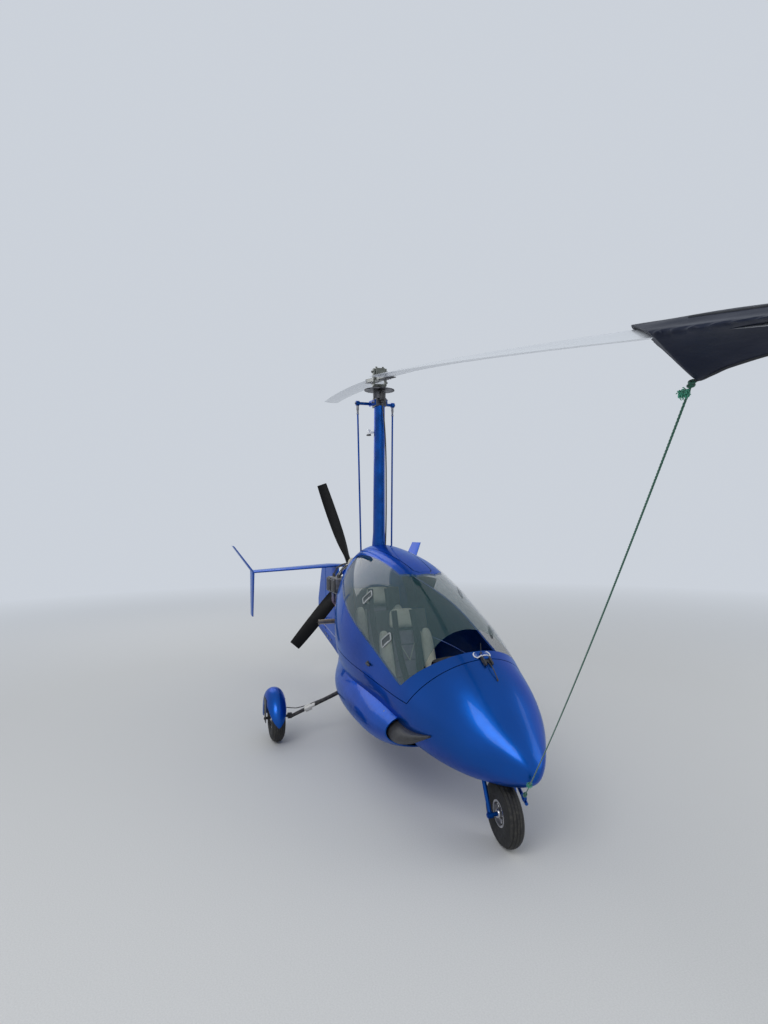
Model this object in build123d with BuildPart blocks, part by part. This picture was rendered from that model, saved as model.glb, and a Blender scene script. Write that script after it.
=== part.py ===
"""Tandem two-seat gyroplane with an enclosed cabin, parked with its rotor tied down.

Millimetres. +X forward, +Y to port, +Z up. The origin is on the ground, below the rotor hub.
"""

import os
from math import cos, radians, sin

from build123d import *

os.makedirs("parts", exist_ok=True)

# Rotor and mast
ROTOR_RADIUS = 4200.0
ROTOR_CHORD = 205.0
ROTOR_THICKNESS = 24.0
BLADE_SAG = 118.0
BLADE_NOSE = 0.27
HUB_HEIGHT = 2886.0
UNDERSLING = 55.0
SHAFT_TILT = 3.0
TEETER_PARKED = 8.3
ROTOR_AZIMUTH = -8.0
TEETER_BOLT = 16.0
HUB_BAR_WIDTH = 76.0
HUB_BAR_HALF = 400.0
HUB_BAR_HEIGHT = 26.0
MAST_BASE_X = -75.0
MAST_BASE_Z = 1300.0
MAST_TOP_X = -12.0
MAST_TOP_Z = 2600.0
MAST_CHORD = 150.0
MAST_WIDTH = 92.0
MAST_TAPER = 0.12

# Control crossbar behind the mast head, with its push rods into the cabin roof
CROSSBAR_X = -120.0
CROSSBAR_Z = 2645.0
CROSSBAR_HALF = 154.0
CROSSBAR_RADIUS = 12.0
ROD_RADIUS = 7.0
ROD_FOOT_X = -136.0
ROD_FOOT_Y = 132.0
ROD_FOOT_Z = 1290.0
ROD_HOLE_Y = 135.0
ROD_HOLE_RADIUS = 12.0

# Body shell
WALL = 14.0
GLASS = 4.0
SEAM = 5.0
FIT = 0.4
FIREWALL_X = -250.0
CANOPY_REAR_X = -100.0
REAR_SEAM_SLANT = 10.0
SILL_REAR_Z = 727.0
SILL_FRONT_X = 1462.0
SILL_FRONT_Z = 637.0
NOSE_SEAM_X = 1690.0
NOSE_SEAM_Z = 905.0
TONGUE_TIP_X = 880.0
TONGUE_HALF_REAR = 128.0
TONGUE_HALF_FRONT = 62.0

# Wheels and their gear
MAIN_WHEEL_X = -43.0
MAIN_TRACK_HALF = 852.0
MAIN_RADIUS = 178.0
MAIN_TYRE_WIDTH = 100.0
MAIN_RIM_RADIUS = 82.0
NOSE_WHEEL_X = 1857.0
NOSE_RADIUS = 165.0
NOSE_TYRE_WIDTH = 92.0
NOSE_RIM_RADIUS = 66.0
AXLE_RADIUS = 10.0
AXLE_FIT = 0.05
STEER_RAKE = 22.0
STEER_HEAD_X = 1775.0
STEER_HEAD_Z = 360.0
STEER_PARKED = -5.5
STEM_RADIUS = 16.0
LEG_ROOT_RADIUS = 16.5
LEG_END_RADIUS = 13.0

# Propeller and engine
PROP_X = -850.0
PROP_Z = 1210.0
PROP_RADIUS = 865.0
PROP_HUB_RADIUS = 62.0
PROP_HUB_LENGTH = 84.0
PROP_FIRST_BLADE = -19.1
PROP_BLADES = 3
CRANK_Z = 1120.0

# Tail
KEEL_HEIGHT = 76.0
KEEL_WIDTH = 58.0
FIN_TOP_Z = 1205.0
FIN_THICKNESS = 62.0
RUDDER_HINGE_X = -1880.0
STAB_HALF_SPAN = 850.0
STAB_ROOT_Z = 1222.0
STAB_TIP_Z = 1186.0


def turned(plane, angle_x=0.0, angle_y=0.0, angle_z=0.0):
    """The plane turned about its own axes."""
    return Plane(plane.location * Rotation(angle_x, angle_y, angle_z))


# Body sections: x, half width, top, waist, floor; the first lies behind the firewall cut
BODY_SECTIONS = [
    (-610, 215, 1330, 880, 350),
    (-250, 332, 1443, 842, 289),
    (110, 418, 1471, 812, 263),
    (470, 450, 1420, 800, 250),
    (820, 430, 1334, 735, 252),
    (1150, 402, 1205, 650, 262),
    (1450, 372, 1045, 585, 276),
    (1700, 310, 886, 545, 291),
    (1890, 227, 746, 530, 320),
    (2020, 143, 634, 516, 356),
    (2105, 80, 560, 500, 394),
    (2148, 34, 506, 480, 430),
    (2160, 8, 478, 466, 452),
]


def body_solid(inset, sections, rear_x):
    """The body's outer form, or the same form pulled in by a wall, cut square at its rear."""
    with BuildPart() as form:
        for x, half, top, waist, floor in sections:
            crown = top - waist - inset
            belly = waist - floor - inset
            with BuildSketch(Plane.YZ.offset(x)):
                with BuildLine():
                    for start, rise in ((0, crown), (90, crown), (180, belly), (270, belly)):
                        EllipticalCenterArc(
                            (0, waist), half - inset, rise, start_angle=start, arc_size=90
                        )
                make_face()
        loft()
        split(bisect_by=Plane.YZ.offset(rear_x), keep=Keep.TOP)
    return form.part


body_outside = body_solid(0, BODY_SECTIONS, FIREWALL_X)
body_inside = body_solid(WALL, BODY_SECTIONS[:-2], FIREWALL_X + WALL)
glass_inside = body_solid(GLASS, BODY_SECTIONS[:-2], FIREWALL_X + WALL)

# Side outline of the canopy: sill, slanted nose seam, then up past the roof
ABOVE = 1700.0
SIDE = 700.0
seam_run = (NOSE_SEAM_X - SILL_FRONT_X) / (NOSE_SEAM_Z - SILL_FRONT_Z)
canopy_outline = [
    (CANOPY_REAR_X + REAR_SEAM_SLANT, SILL_REAR_Z),
    (SILL_FRONT_X, SILL_FRONT_Z),
    (SILL_FRONT_X + seam_run * (ABOVE - SILL_FRONT_Z), ABOVE),
    (CANOPY_REAR_X, ABOVE),
    (CANOPY_REAR_X, NOSE_SEAM_Z),
]


def side_prism(points, gap=0.0, corner=0.0):
    """Prism across the body from an outline in X and Z, pulled in by a gap all round."""
    with BuildPart() as prism:
        with BuildSketch(Plane.XZ) as outline:
            with BuildLine():
                Polyline(*points, close=True)
            make_face()
            if gap:
                offset(amount=-gap, kind=Kind.INTERSECTION, mode=Mode.REPLACE)
            if corner:
                fillet(outline.vertices(), corner)
        extrude(amount=SIDE, both=True)
    return prism.part


def roof_prism(rear_half, shoulder_x, shoulder_half, tip_x, tip_half, grow=0.0):
    """Upright prism over the roof spine, seen in plan: it narrows to its front tip."""
    rear_x = CANOPY_REAR_X - 80.0
    with BuildPart() as prism:
        with BuildSketch(Plane.XY.offset(1000)):
            with BuildLine():
                Polyline(
                    (rear_x, -rear_half - grow),
                    (shoulder_x, -shoulder_half - grow),
                    (tip_x + grow, -tip_half - grow),
                    (tip_x + grow, tip_half + grow),
                    (shoulder_x, shoulder_half + grow),
                    (rear_x, rear_half + grow),
                    close=True,
                )
            make_face()
        extrude(amount=ABOVE - 1000)
    return prism.part


TONGUE_SHOULDER_X = TONGUE_TIP_X - 40.0
tongue = roof_prism(
    TONGUE_HALF_REAR, TONGUE_SHOULDER_X, TONGUE_HALF_FRONT, TONGUE_TIP_X, TONGUE_HALF_FRONT * 0.6
)
tongue_gap = roof_prism(
    TONGUE_HALF_REAR,
    TONGUE_SHOULDER_X,
    TONGUE_HALF_FRONT,
    TONGUE_TIP_X,
    TONGUE_HALF_FRONT * 0.6,
    grow=SEAM,
)
ROOF_BAND = 92.0
roof_band = roof_prism(
    TONGUE_HALF_REAR + ROOF_BAND * 0.8,
    TONGUE_SHOULDER_X - 30.0,
    TONGUE_HALF_FRONT + ROOF_BAND,
    TONGUE_TIP_X + 30.0,
    TONGUE_HALF_FRONT,
)

# Window outline, seen from the side: one lower edge falling to the front corner
WINDOW_REAR_X = -32.0
WINDOW_REAR_Z = 1192.0
WINDOW_FRONT_X = 1377.0
WINDOW_FRONT_Z = 716.0
WINDOW_NOSE_X = 1628.0
WINDOW_NOSE_Z = 937.0
window_run = (WINDOW_NOSE_X - WINDOW_FRONT_X) / (WINDOW_NOSE_Z - WINDOW_FRONT_Z)
window_outline = [
    (WINDOW_REAR_X, WINDOW_REAR_Z),
    (WINDOW_FRONT_X, WINDOW_FRONT_Z),
    (WINDOW_FRONT_X + window_run * (ABOVE - WINDOW_FRONT_Z), ABOVE),
    (WINDOW_REAR_X, ABOVE),
]
WINDOW_CORNER = 30.0

# Nose wheel steering: the axis leans back at its top
steer_zero = Plane(
    origin=(STEER_HEAD_X, 0, STEER_HEAD_Z),
    x_dir=(cos(radians(STEER_RAKE)), 0, sin(radians(STEER_RAKE))),
    z_dir=(-sin(radians(STEER_RAKE)), 0, cos(radians(STEER_RAKE))),
)
steer_plane = turned(steer_zero, angle_z=STEER_PARKED)
hub_drop = steer_zero.to_local_coords(Vector(NOSE_WHEEL_X, 0, NOSE_RADIUS))
nose_hub = steer_plane.from_local_coords(Vector(hub_drop.X, 0, hub_drop.Z))
nose_wheel_plane = Plane(origin=nose_hub, x_dir=steer_plane.x_dir, z_dir=steer_plane.z_dir)

# The wheel well lies ahead of the steering axis, since the tyre's top does
WELL_AHEAD = 45.0
WELL_RADIUS = 132.0
WELL_TOP = 6.0
WELL_WALL = 8.0
WELL_DEPTH = 200.0

with BuildPart() as hull:
    add(body_outside)
    add(body_inside, mode=Mode.SUBTRACT)
    with BuildPart(mode=Mode.PRIVATE) as well_case:
        with BuildSketch(steer_zero.offset(-WELL_DEPTH)):
            with Locations((WELL_AHEAD, 0)):
                Circle(WELL_RADIUS + WELL_WALL)
        extrude(amount=WELL_DEPTH + WELL_TOP + WELL_WALL)
        add(body_outside, mode=Mode.INTERSECT)
    add(well_case.part)
    with BuildSketch(steer_zero.offset(-WELL_DEPTH)):
        with Locations((WELL_AHEAD, 0)):
            Circle(WELL_RADIUS)
    extrude(amount=WELL_DEPTH + WELL_TOP, mode=Mode.SUBTRACT)
    with BuildPart(mode=Mode.PRIVATE) as canopy_space:
        add(side_prism(canopy_outline))
        add(tongue, mode=Mode.SUBTRACT)
    add(canopy_space.part, mode=Mode.SUBTRACT)
    with BuildSketch(steer_zero):
        Circle(STEM_RADIUS + 6)
    extrude(amount=WELL_TOP + WELL_WALL, mode=Mode.SUBTRACT)
    for sign in (1, -1):
        with BuildSketch(Plane.XY.offset(ROD_FOOT_Z)):
            with Locations((ROD_FOOT_X + 2, sign * ROD_HOLE_Y)):
                Circle(ROD_HOLE_RADIUS)
        extrude(amount=ABOVE - ROD_FOOT_Z, mode=Mode.SUBTRACT)
hull.part.label = "hull"

# Canopy hinge at the nose seam: lugs on the nose, a barrel on the canopy, one pin
HINGE_Z = 905.0
HINGE_PIN = 4.0
HINGE_BARREL = 10.0
HINGE_HALF = 14.0
LUG_THICK = 10.0
LUG_GAP = 0.5
with BuildPart() as canopy_hinge:
    for start in (HINGE_HALF + LUG_GAP + LUG_THICK, -HINGE_HALF - LUG_GAP):
        with BuildSketch(Plane.XZ.offset(-start)):
            SlotCenterPoint(
                (NOSE_SEAM_X + 17, HINGE_Z - 11), (NOSE_SEAM_X, HINGE_Z), 2 * HINGE_BARREL
            )
        extrude(amount=LUG_THICK)
    add(body_outside, mode=Mode.SUBTRACT)
    with BuildSketch(Plane.XZ.offset(-HINGE_HALF - LUG_GAP - LUG_THICK)):
        with Locations((NOSE_SEAM_X, HINGE_Z)):
            Circle(HINGE_PIN)
    extrude(amount=2 * (HINGE_HALF + LUG_GAP + LUG_THICK))
canopy_hinge.part.label = "canopy_hinge"

with BuildPart() as canopy_frame:
    add(body_outside)
    add(body_inside, mode=Mode.SUBTRACT)
    add(side_prism(canopy_outline, gap=SEAM), mode=Mode.INTERSECT)
    add(tongue_gap, mode=Mode.SUBTRACT)
    with BuildPart(mode=Mode.PRIVATE) as window_space:
        add(side_prism(window_outline, corner=WINDOW_CORNER))
        add(roof_band, mode=Mode.SUBTRACT)
    add(window_space.part, mode=Mode.SUBTRACT)
    with BuildSketch(Plane.XZ.offset(-HINGE_HALF)):
        SlotCenterPoint(
            (NOSE_SEAM_X - 18, HINGE_Z + 3), (NOSE_SEAM_X, HINGE_Z), 2 * HINGE_BARREL
        )
        with Locations((NOSE_SEAM_X, HINGE_Z)):
            Circle(HINGE_PIN + AXLE_FIT, mode=Mode.SUBTRACT)
    extrude(amount=2 * HINGE_HALF)
canopy_frame.part.label = "canopy_frame"

with BuildPart() as canopy_glass:
    add(body_outside)
    add(glass_inside, mode=Mode.SUBTRACT)
    with BuildPart(mode=Mode.PRIVATE) as pane_space:
        add(side_prism(window_outline, gap=FIT, corner=WINDOW_CORNER - FIT))
        add(roof_band, mode=Mode.SUBTRACT)
    add(pane_space.part, mode=Mode.INTERSECT)
canopy_glass.part.label = "canopy_glass"

# Side pods: x, half width, top, bottom
POD_Y = 200.0
POD_SECTIONS = [
    (1700, 150, 530, 512),
    (1560, 200, 546, 440),
    (1400, 241, 553, 369),
    (1100, 277, 586, 278),
    (800, 278, 606, 244),
    (450, 261, 614, 230),
    (100, 218, 599, 241),
    (-250, 128, 554, 280),
    (-500, 46, 505, 330),
    (-620, 9, 470, 390),
]


def pod_solid(inset, sections):
    """One side pod's outer form, or the same form pulled in by a wall."""
    with BuildPart() as form:
        for x, half, top, bottom in sections:
            with BuildSketch(Plane.YZ.offset(x)):
                with Locations((POD_Y, (top + bottom) / 2)):
                    Ellipse(half - inset, (top - bottom) / 2 - inset)
        loft()
    return form.part


# The pod's front is an open air intake
POD_WALL = 7.0
INTAKE_X = 1335.0
INTAKE_DEPTH = 150.0
pod_outside = pod_solid(0, POD_SECTIONS)
pod_inside = pod_solid(POD_WALL, POD_SECTIONS[1:5])

LEG_SOCKET = LEG_ROOT_RADIUS + FIT
leg_root = Vector(MAIN_WHEEL_X, 250, 356)
leg_end = Vector(MAIN_WHEEL_X, 752, 166)
leg_axis = (leg_end - leg_root).normalized()
leg_length = (leg_end - leg_root).length
leg_plane = Plane(origin=leg_root, x_dir=(1, 0, 0), z_dir=leg_axis)

with BuildPart() as sponson_left:
    add(pod_outside)
    with BuildPart(mode=Mode.PRIVATE) as intake:
        add(pod_inside)
        split(bisect_by=Plane.YZ.offset(INTAKE_X - INTAKE_DEPTH), keep=Keep.TOP)
    add(intake.part, mode=Mode.SUBTRACT)
    split(bisect_by=Plane.YZ.offset(INTAKE_X), keep=Keep.BOTTOM)
    add(body_outside, mode=Mode.SUBTRACT)
    with BuildSketch(leg_plane):
        Circle(LEG_SOCKET)
    extrude(amount=leg_length, mode=Mode.SUBTRACT)
sponson_left.part.label = "sponson_left"
sponson_right = mirror(sponson_left.part, about=Plane.XZ)
sponson_right.label = "sponson_right"

# Sprung rods of the main gear, with their stub axles
GUARD_OUT = 12.0
GUARD_WIDTH = 136.0
PLATE = 4.0
AXLE_END_Y = MAIN_TRACK_HALF + GUARD_OUT + GUARD_WIDTH / 2 + PLATE + 8.0
LEG_START = 70.0
BOSS_RADIUS = 22.0
BOSS_OUT = 12.0
BOSS_LENGTH = 30.0
SLEEVE_AT = 0.66
SLEEVE_LENGTH = 50.0
SLEEVE_RADIUS = 25.0
axle_start_y = leg_end.Y + BOSS_OUT
with BuildPart() as gear_leg:
    with BuildSketch(leg_plane.offset(LEG_START)):
        Circle(LEG_ROOT_RADIUS)
    with BuildSketch(leg_plane.offset(leg_length)):
        Circle(LEG_END_RADIUS)
    loft()
    with BuildSketch(Plane.XZ.offset(-axle_start_y)):
        with Locations((MAIN_WHEEL_X, MAIN_RADIUS)):
            Circle(BOSS_RADIUS)
    extrude(amount=BOSS_LENGTH)
    with BuildSketch(Plane.XZ.offset(-axle_start_y)):
        with Locations((MAIN_WHEEL_X, MAIN_RADIUS)):
            Circle(AXLE_RADIUS)
    extrude(amount=-(AXLE_END_Y - axle_start_y))
    with BuildSketch(leg_plane.offset(leg_length * SLEEVE_AT)):
        Circle(SLEEVE_RADIUS)
    extrude(amount=SLEEVE_LENGTH)
with BuildPart() as main_gear_legs:
    add(gear_leg.part)
    mirror(about=Plane.XZ)
main_gear_legs.part.label = "main_gear_legs"


def tyre_and_rim(plane, radius, width, rim_radius):
    """A tyre with a round crown and its dished rim, turned about the plane's Y axis."""
    axis = Axis(plane.origin, plane.y_dir)
    bead = width * 0.36
    with BuildPart() as tyre:
        with BuildSketch(plane):
            with BuildLine():
                Line((rim_radius, -bead), (rim_radius, bead))
                ThreePointArc(
                    (rim_radius, bead),
                    ((radius + rim_radius) / 2, width / 2),
                    (radius - width * 0.17, width * 0.38),
                )
                ThreePointArc(
                    (radius - width * 0.17, width * 0.38),
                    (radius, 0),
                    (radius - width * 0.17, -width * 0.38),
                )
                ThreePointArc(
                    (radius - width * 0.17, -width * 0.38),
                    ((radius + rim_radius) / 2, -width / 2),
                    (rim_radius, -bead),
                )
            make_face()
        revolve(axis=axis)
    with BuildPart() as rim:
        bore = AXLE_RADIUS + AXLE_FIT
        lip = rim_radius - 1.0
        with BuildSketch(plane):
            with BuildLine():
                Polyline(
                    (bore, -bead),
                    (26, -bead),
                    (26, -8),
                    (lip - 12, -8),
                    (lip - 9, -bead),
                    (lip, -bead),
                    (lip, bead),
                    (lip - 9, bead),
                    (lip - 12, 8),
                    (26, 8),
                    (26, bead),
                    (bore, bead),
                    close=True,
                )
            make_face()
        revolve(axis=axis)
    return tyre.part, rim.part


wheels = {}
for side, sign in (("left", 1), ("right", -1)):
    hub = Plane(
        origin=(MAIN_WHEEL_X, sign * MAIN_TRACK_HALF, MAIN_RADIUS), x_dir=(1, 0, 0), z_dir=(0, 0, 1)
    )
    tyre, rim = tyre_and_rim(hub, MAIN_RADIUS, MAIN_TYRE_WIDTH, MAIN_RIM_RADIUS)
    wheels[f"main_tyre_{side}"] = tyre
    wheels[f"main_rim_{side}"] = rim
tyre, rim = tyre_and_rim(nose_wheel_plane, NOSE_RADIUS, NOSE_TYRE_WIDTH, NOSE_RIM_RADIUS)
wheels["nose_tyre"] = tyre
wheels["nose_rim"] = rim
for name, part in wheels.items():
    part.label = name

# Mudguards over the main wheels, carried by side plates on the axles
GUARD_RADIUS = 224.0
GUARD_WALL = 4.0
GUARD_FRONT = -4.0
GUARD_SWEEP = 191.0
GUARD_POINT_Z = 158.0
GUARD_FULL_Z = 318.0
GUARD_INNER = 120.0
GUARD_SHOULDER = 168.0
guard_hub = Plane(
    origin=(MAIN_WHEEL_X, MAIN_TRACK_HALF + GUARD_OUT, MAIN_RADIUS),
    x_dir=(1, 0, 0),
    z_dir=(0, 0, 1),
)
guard_y = MAIN_TRACK_HALF + GUARD_OUT
guard_bend = (GUARD_FULL_Z * 0.42 + GUARD_POINT_Z * 0.58)
with BuildPart() as front_cut:
    with BuildSketch(Plane.YZ.offset(MAIN_WHEEL_X + GUARD_INNER * 0.6)):
        with BuildLine():
            half = GUARD_WIDTH / 2
            ThreePointArc(
                (guard_y - half, GUARD_FULL_Z),
                (guard_y - half * 0.72, guard_bend),
                (guard_y, GUARD_POINT_Z),
            )
            ThreePointArc(
                (guard_y, GUARD_POINT_Z),
                (guard_y + half * 0.72, guard_bend),
                (guard_y + half, GUARD_FULL_Z),
            )
            Polyline(
                (guard_y + half, GUARD_FULL_Z),
                (guard_y + 2 * half, GUARD_FULL_Z),
                (guard_y + 2 * half, 0),
                (guard_y - 2 * half, 0),
                (guard_y - 2 * half, GUARD_FULL_Z),
                (guard_y - half, GUARD_FULL_Z),
            )
        make_face()
    extrude(amount=2 * GUARD_RADIUS)
with BuildPart() as mudguard:
    with BuildSketch(turned(guard_hub, angle_y=-GUARD_FRONT)):
        with BuildLine():
            half = GUARD_WIDTH / 2
            inner = half - GUARD_WALL
            edge, shoulder = GUARD_INNER, GUARD_SHOULDER
            Line((edge, half), (shoulder, half))
            ThreePointArc((shoulder, half), (GUARD_RADIUS, 0), (shoulder, -half))
            Polyline((shoulder, -half), (edge, -half), (edge, -inner), (shoulder, -inner))
            ThreePointArc((shoulder, -inner), (GUARD_RADIUS - GUARD_WALL, 0), (shoulder, inner))
            Polyline((shoulder, inner), (edge, inner), (edge, half))
        make_face()
    revolve(axis=Axis(guard_hub.origin, (0, -1, 0)), revolution_arc=GUARD_SWEEP)
    add(front_cut.part, mode=Mode.SUBTRACT)
with BuildPart() as mudguards:
    add(mudguard.part)
    mirror(about=Plane.XZ)
mudguards.part.label = "mudguards"

with BuildPart() as plate_pair:
    for offset_y in (GUARD_WIDTH / 2 + FIT / 2, -GUARD_WIDTH / 2 - FIT / 2 - PLATE):
        plate_y = MAIN_TRACK_HALF + GUARD_OUT + offset_y
        with BuildSketch(Plane.XZ.offset(-plate_y)):
            with BuildLine():
                Polyline(
                    (MAIN_WHEEL_X - 26, MAIN_RADIUS - 30),
                    (MAIN_WHEEL_X + 26, MAIN_RADIUS - 30),
                    (MAIN_WHEEL_X + 60, MAIN_RADIUS + 150),
                    (MAIN_WHEEL_X - 60, MAIN_RADIUS + 150),
                    close=True,
                )
            make_face()
            with Locations((MAIN_WHEEL_X, MAIN_RADIUS)):
                Circle(AXLE_RADIUS + AXLE_FIT, mode=Mode.SUBTRACT)
        extrude(amount=-PLATE)
with BuildPart() as guard_plates:
    add(plate_pair.part)
    mirror(about=Plane.XZ)
guard_plates.part.label = "guard_plates"

# Nose fork: crown, two round arms and the axle, in the steering frame
ARM_Y = 77.0
ARM_RADIUS = 11.0
ARM_LUG = 16.0
LUG_WIDTH = 25.0
FORK_CROWN_Z = -22.0
CROWN_LENGTH = 44.0
CROWN_WIDTH = 2 * (ARM_Y + ARM_RADIUS + 3)
CROWN_THICK = 14.0
STEM_ABOVE = 60.0
hub_x, hub_z = hub_drop.X, hub_drop.Z
side_plane = Plane(origin=steer_plane.origin, x_dir=steer_plane.x_dir, z_dir=-steer_plane.y_dir)
with BuildPart() as nose_fork:
    with BuildSketch(steer_plane.offset(hub_z)):
        with Locations((hub_x, ARM_Y), (hub_x, -ARM_Y)):
            Circle(ARM_RADIUS)
    extrude(amount=FORK_CROWN_Z + CROWN_THICK / 2 - hub_z)
    for sign in (1, -1):
        with BuildSketch(side_plane.offset(-sign * ARM_Y - LUG_WIDTH / 2)):
            with Locations((hub_x, hub_z)):
                Circle(ARM_LUG)
        extrude(amount=LUG_WIDTH)
    with BuildSketch(steer_plane.offset(FORK_CROWN_Z)):
        RectangleRounded(CROWN_LENGTH, CROWN_WIDTH, CROWN_LENGTH * 0.45)
    extrude(amount=CROWN_THICK)
    with BuildSketch(steer_plane.offset(FORK_CROWN_Z + CROWN_THICK)):
        Circle(STEM_RADIUS)
    extrude(amount=WELL_TOP + WELL_WALL + STEM_ABOVE - FORK_CROWN_Z - CROWN_THICK)
    with BuildSketch(side_plane.offset(-ARM_Y - ARM_RADIUS - 6)):
        with Locations((hub_x, hub_z)):
            Circle(AXLE_RADIUS)
    extrude(amount=2 * (ARM_Y + ARM_RADIUS + 6))
nose_fork.part.label = "nose_fork"

# Tow bar of the nose gear, bolted to the crown, with the eye that takes the tie-down
TOW_RADIUS = 8.0
EYE_BORE = 10.0
EYE_RADIUS = 19.0
EYE_THICK = 10.0
EYE_X = 253.0
EYE_Y = 12.0
EYE_Z = -136.0
TOW_RISE = EYE_RADIUS + 10.0
with BuildPart() as tow_bar:
    with BuildLine() as tow_path:
        FilletPolyline(
            steer_plane.from_local_coords(Vector(14, 58, FORK_CROWN_Z + 6)),
            steer_plane.from_local_coords(Vector(112, 52, -84)),
            steer_plane.from_local_coords(Vector(EYE_X + 14, EYE_Y, EYE_Z - TOW_RISE)),
            radius=16,
        )
    with BuildSketch(Plane(origin=tow_path.line @ 0, z_dir=tow_path.line % 0)):
        Circle(TOW_RADIUS)
    sweep()
    with BuildSketch(side_plane.offset(-EYE_Y - EYE_THICK / 2)):
        with Locations((EYE_X, EYE_Z)):
            Circle(EYE_RADIUS)
    extrude(amount=EYE_THICK)
    with BuildSketch(side_plane.offset(-EYE_Y - EYE_THICK)):
        with Locations((EYE_X, EYE_Z)):
            Circle(EYE_BORE)
    extrude(amount=2 * EYE_THICK, mode=Mode.SUBTRACT)
    add(nose_fork.part, mode=Mode.SUBTRACT)
tow_bar.part.label = "tow_bar"

# Steering bearing inside the wheel well's roof
with BuildPart() as steering_bearing:
    with BuildSketch(steer_plane.offset(WELL_TOP + WELL_WALL)):
        Circle(34)
        Circle(STEM_RADIUS + AXLE_FIT, mode=Mode.SUBTRACT)
    extrude(amount=52)
steering_bearing.part.label = "steering_bearing"

# Mast: a streamlined tube, with a low collar where it stands on the roof
COLLAR = [(1380, 16), (1480, 7), (1570, 0.6)]
with BuildPart() as mast:
    for height in (MAST_BASE_Z, MAST_TOP_Z):
        share = (height - MAST_BASE_Z) / (MAST_TOP_Z - MAST_BASE_Z)
        x = MAST_BASE_X + share * (MAST_TOP_X - MAST_BASE_X)
        with BuildSketch(Plane.XY.offset(height)):
            with Locations((x, 0)):
                narrow = 1 - MAST_TAPER * share
                Ellipse(MAST_CHORD / 2 * narrow, MAST_WIDTH / 2 * narrow)
    loft()
    for height, grow in COLLAR:
        share = (height - MAST_BASE_Z) / (MAST_TOP_Z - MAST_BASE_Z)
        x = MAST_BASE_X + share * (MAST_TOP_X - MAST_BASE_X)
        narrow = 1 - MAST_TAPER * share
        with BuildSketch(Plane.XY.offset(height)):
            with Locations((x, 0)):
                Ellipse(MAST_CHORD / 2 * narrow + grow, MAST_WIDTH / 2 * narrow + grow)
    loft()
    add(body_outside, mode=Mode.SUBTRACT)
mast.part.label = "mast"

# Rotor: the shaft leans forward, the parked beam hangs below its teeter bolt, on the stop
shaft_plane = Plane(
    origin=(0, 0, HUB_HEIGHT),
    x_dir=(cos(radians(SHAFT_TILT)), 0, -sin(radians(SHAFT_TILT))),
    z_dir=(sin(radians(SHAFT_TILT)), 0, cos(radians(SHAFT_TILT))),
)
spin_plane = turned(shaft_plane, angle_z=ROTOR_AZIMUTH)
teeter_plane = turned(spin_plane, angle_y=TEETER_PARKED)
beam_plane = teeter_plane.offset(-UNDERSLING)

SHAFT_RADIUS = 17.0
HEAD_BOTTOM = -304.0
HEAD_LENGTH = 110.0
HEAD_WIDTH = 90.0
BEARING_BOTTOM = -219.0
BEARING_TOP = -162.0
BEARING_RADIUS = 52.0
RING_RADIUS = 122.0
RING_BOTTOM = -154.0
RING_THICK = 9.0
with BuildPart() as rotor_head:
    with BuildSketch(shaft_plane.offset(HEAD_BOTTOM)):
        RectangleRounded(HEAD_LENGTH, HEAD_WIDTH, 8)
    extrude(amount=BEARING_BOTTOM - HEAD_BOTTOM)
    split(bisect_by=Plane.XY.offset(MAST_TOP_Z), keep=Keep.TOP)
    with BuildSketch(shaft_plane.offset(BEARING_BOTTOM)):
        Circle(BEARING_RADIUS)
    extrude(amount=BEARING_TOP - BEARING_BOTTOM)
    with BuildSketch(shaft_plane.offset(BEARING_TOP - 40)):
        Circle(SHAFT_RADIUS + AXLE_FIT)
    extrude(amount=60, mode=Mode.SUBTRACT)
rotor_head.part.label = "rotor_head"

with BuildPart() as ring_gear:
    with BuildSketch(spin_plane.offset(RING_BOTTOM)):
        Circle(RING_RADIUS)
        Circle(SHAFT_RADIUS, mode=Mode.SUBTRACT)
    extrude(amount=RING_THICK)
ring_gear.part.label = "ring_gear"

CHEEK = 12.0
CHEEK_LENGTH = 60.0
CHEEK_TOP = 24.0
TOWER_FOOT = -118.0
TOWER_FOOT_THICK = 14.0
CHEEK_GAP = HUB_BAR_WIDTH / 2 + 5.0
with BuildPart() as teeter_tower:
    with BuildSketch(spin_plane.offset(BEARING_TOP - 38)):
        Circle(SHAFT_RADIUS)
    extrude(amount=TOWER_FOOT - BEARING_TOP + 38)
    with BuildSketch(spin_plane.offset(TOWER_FOOT)):
        RectangleRounded(CHEEK_LENGTH + 10, 2 * (CHEEK_GAP + CHEEK), 6)
    extrude(amount=TOWER_FOOT_THICK)
    for sign in (1, -1):
        cheek_plane = Plane(
            origin=spin_plane.origin, x_dir=spin_plane.x_dir, z_dir=-spin_plane.y_dir
        )
        with BuildSketch(cheek_plane.offset(-sign * (CHEEK_GAP + CHEEK / 2) - CHEEK / 2)):
            with Locations((0, (CHEEK_TOP + TOWER_FOOT) / 2)):
                RectangleRounded(CHEEK_LENGTH, CHEEK_TOP - TOWER_FOOT, 8)
            Circle(TEETER_BOLT / 2 + AXLE_FIT, mode=Mode.SUBTRACT)
        extrude(amount=CHEEK)
teeter_tower.part.label = "teeter_tower"

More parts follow.
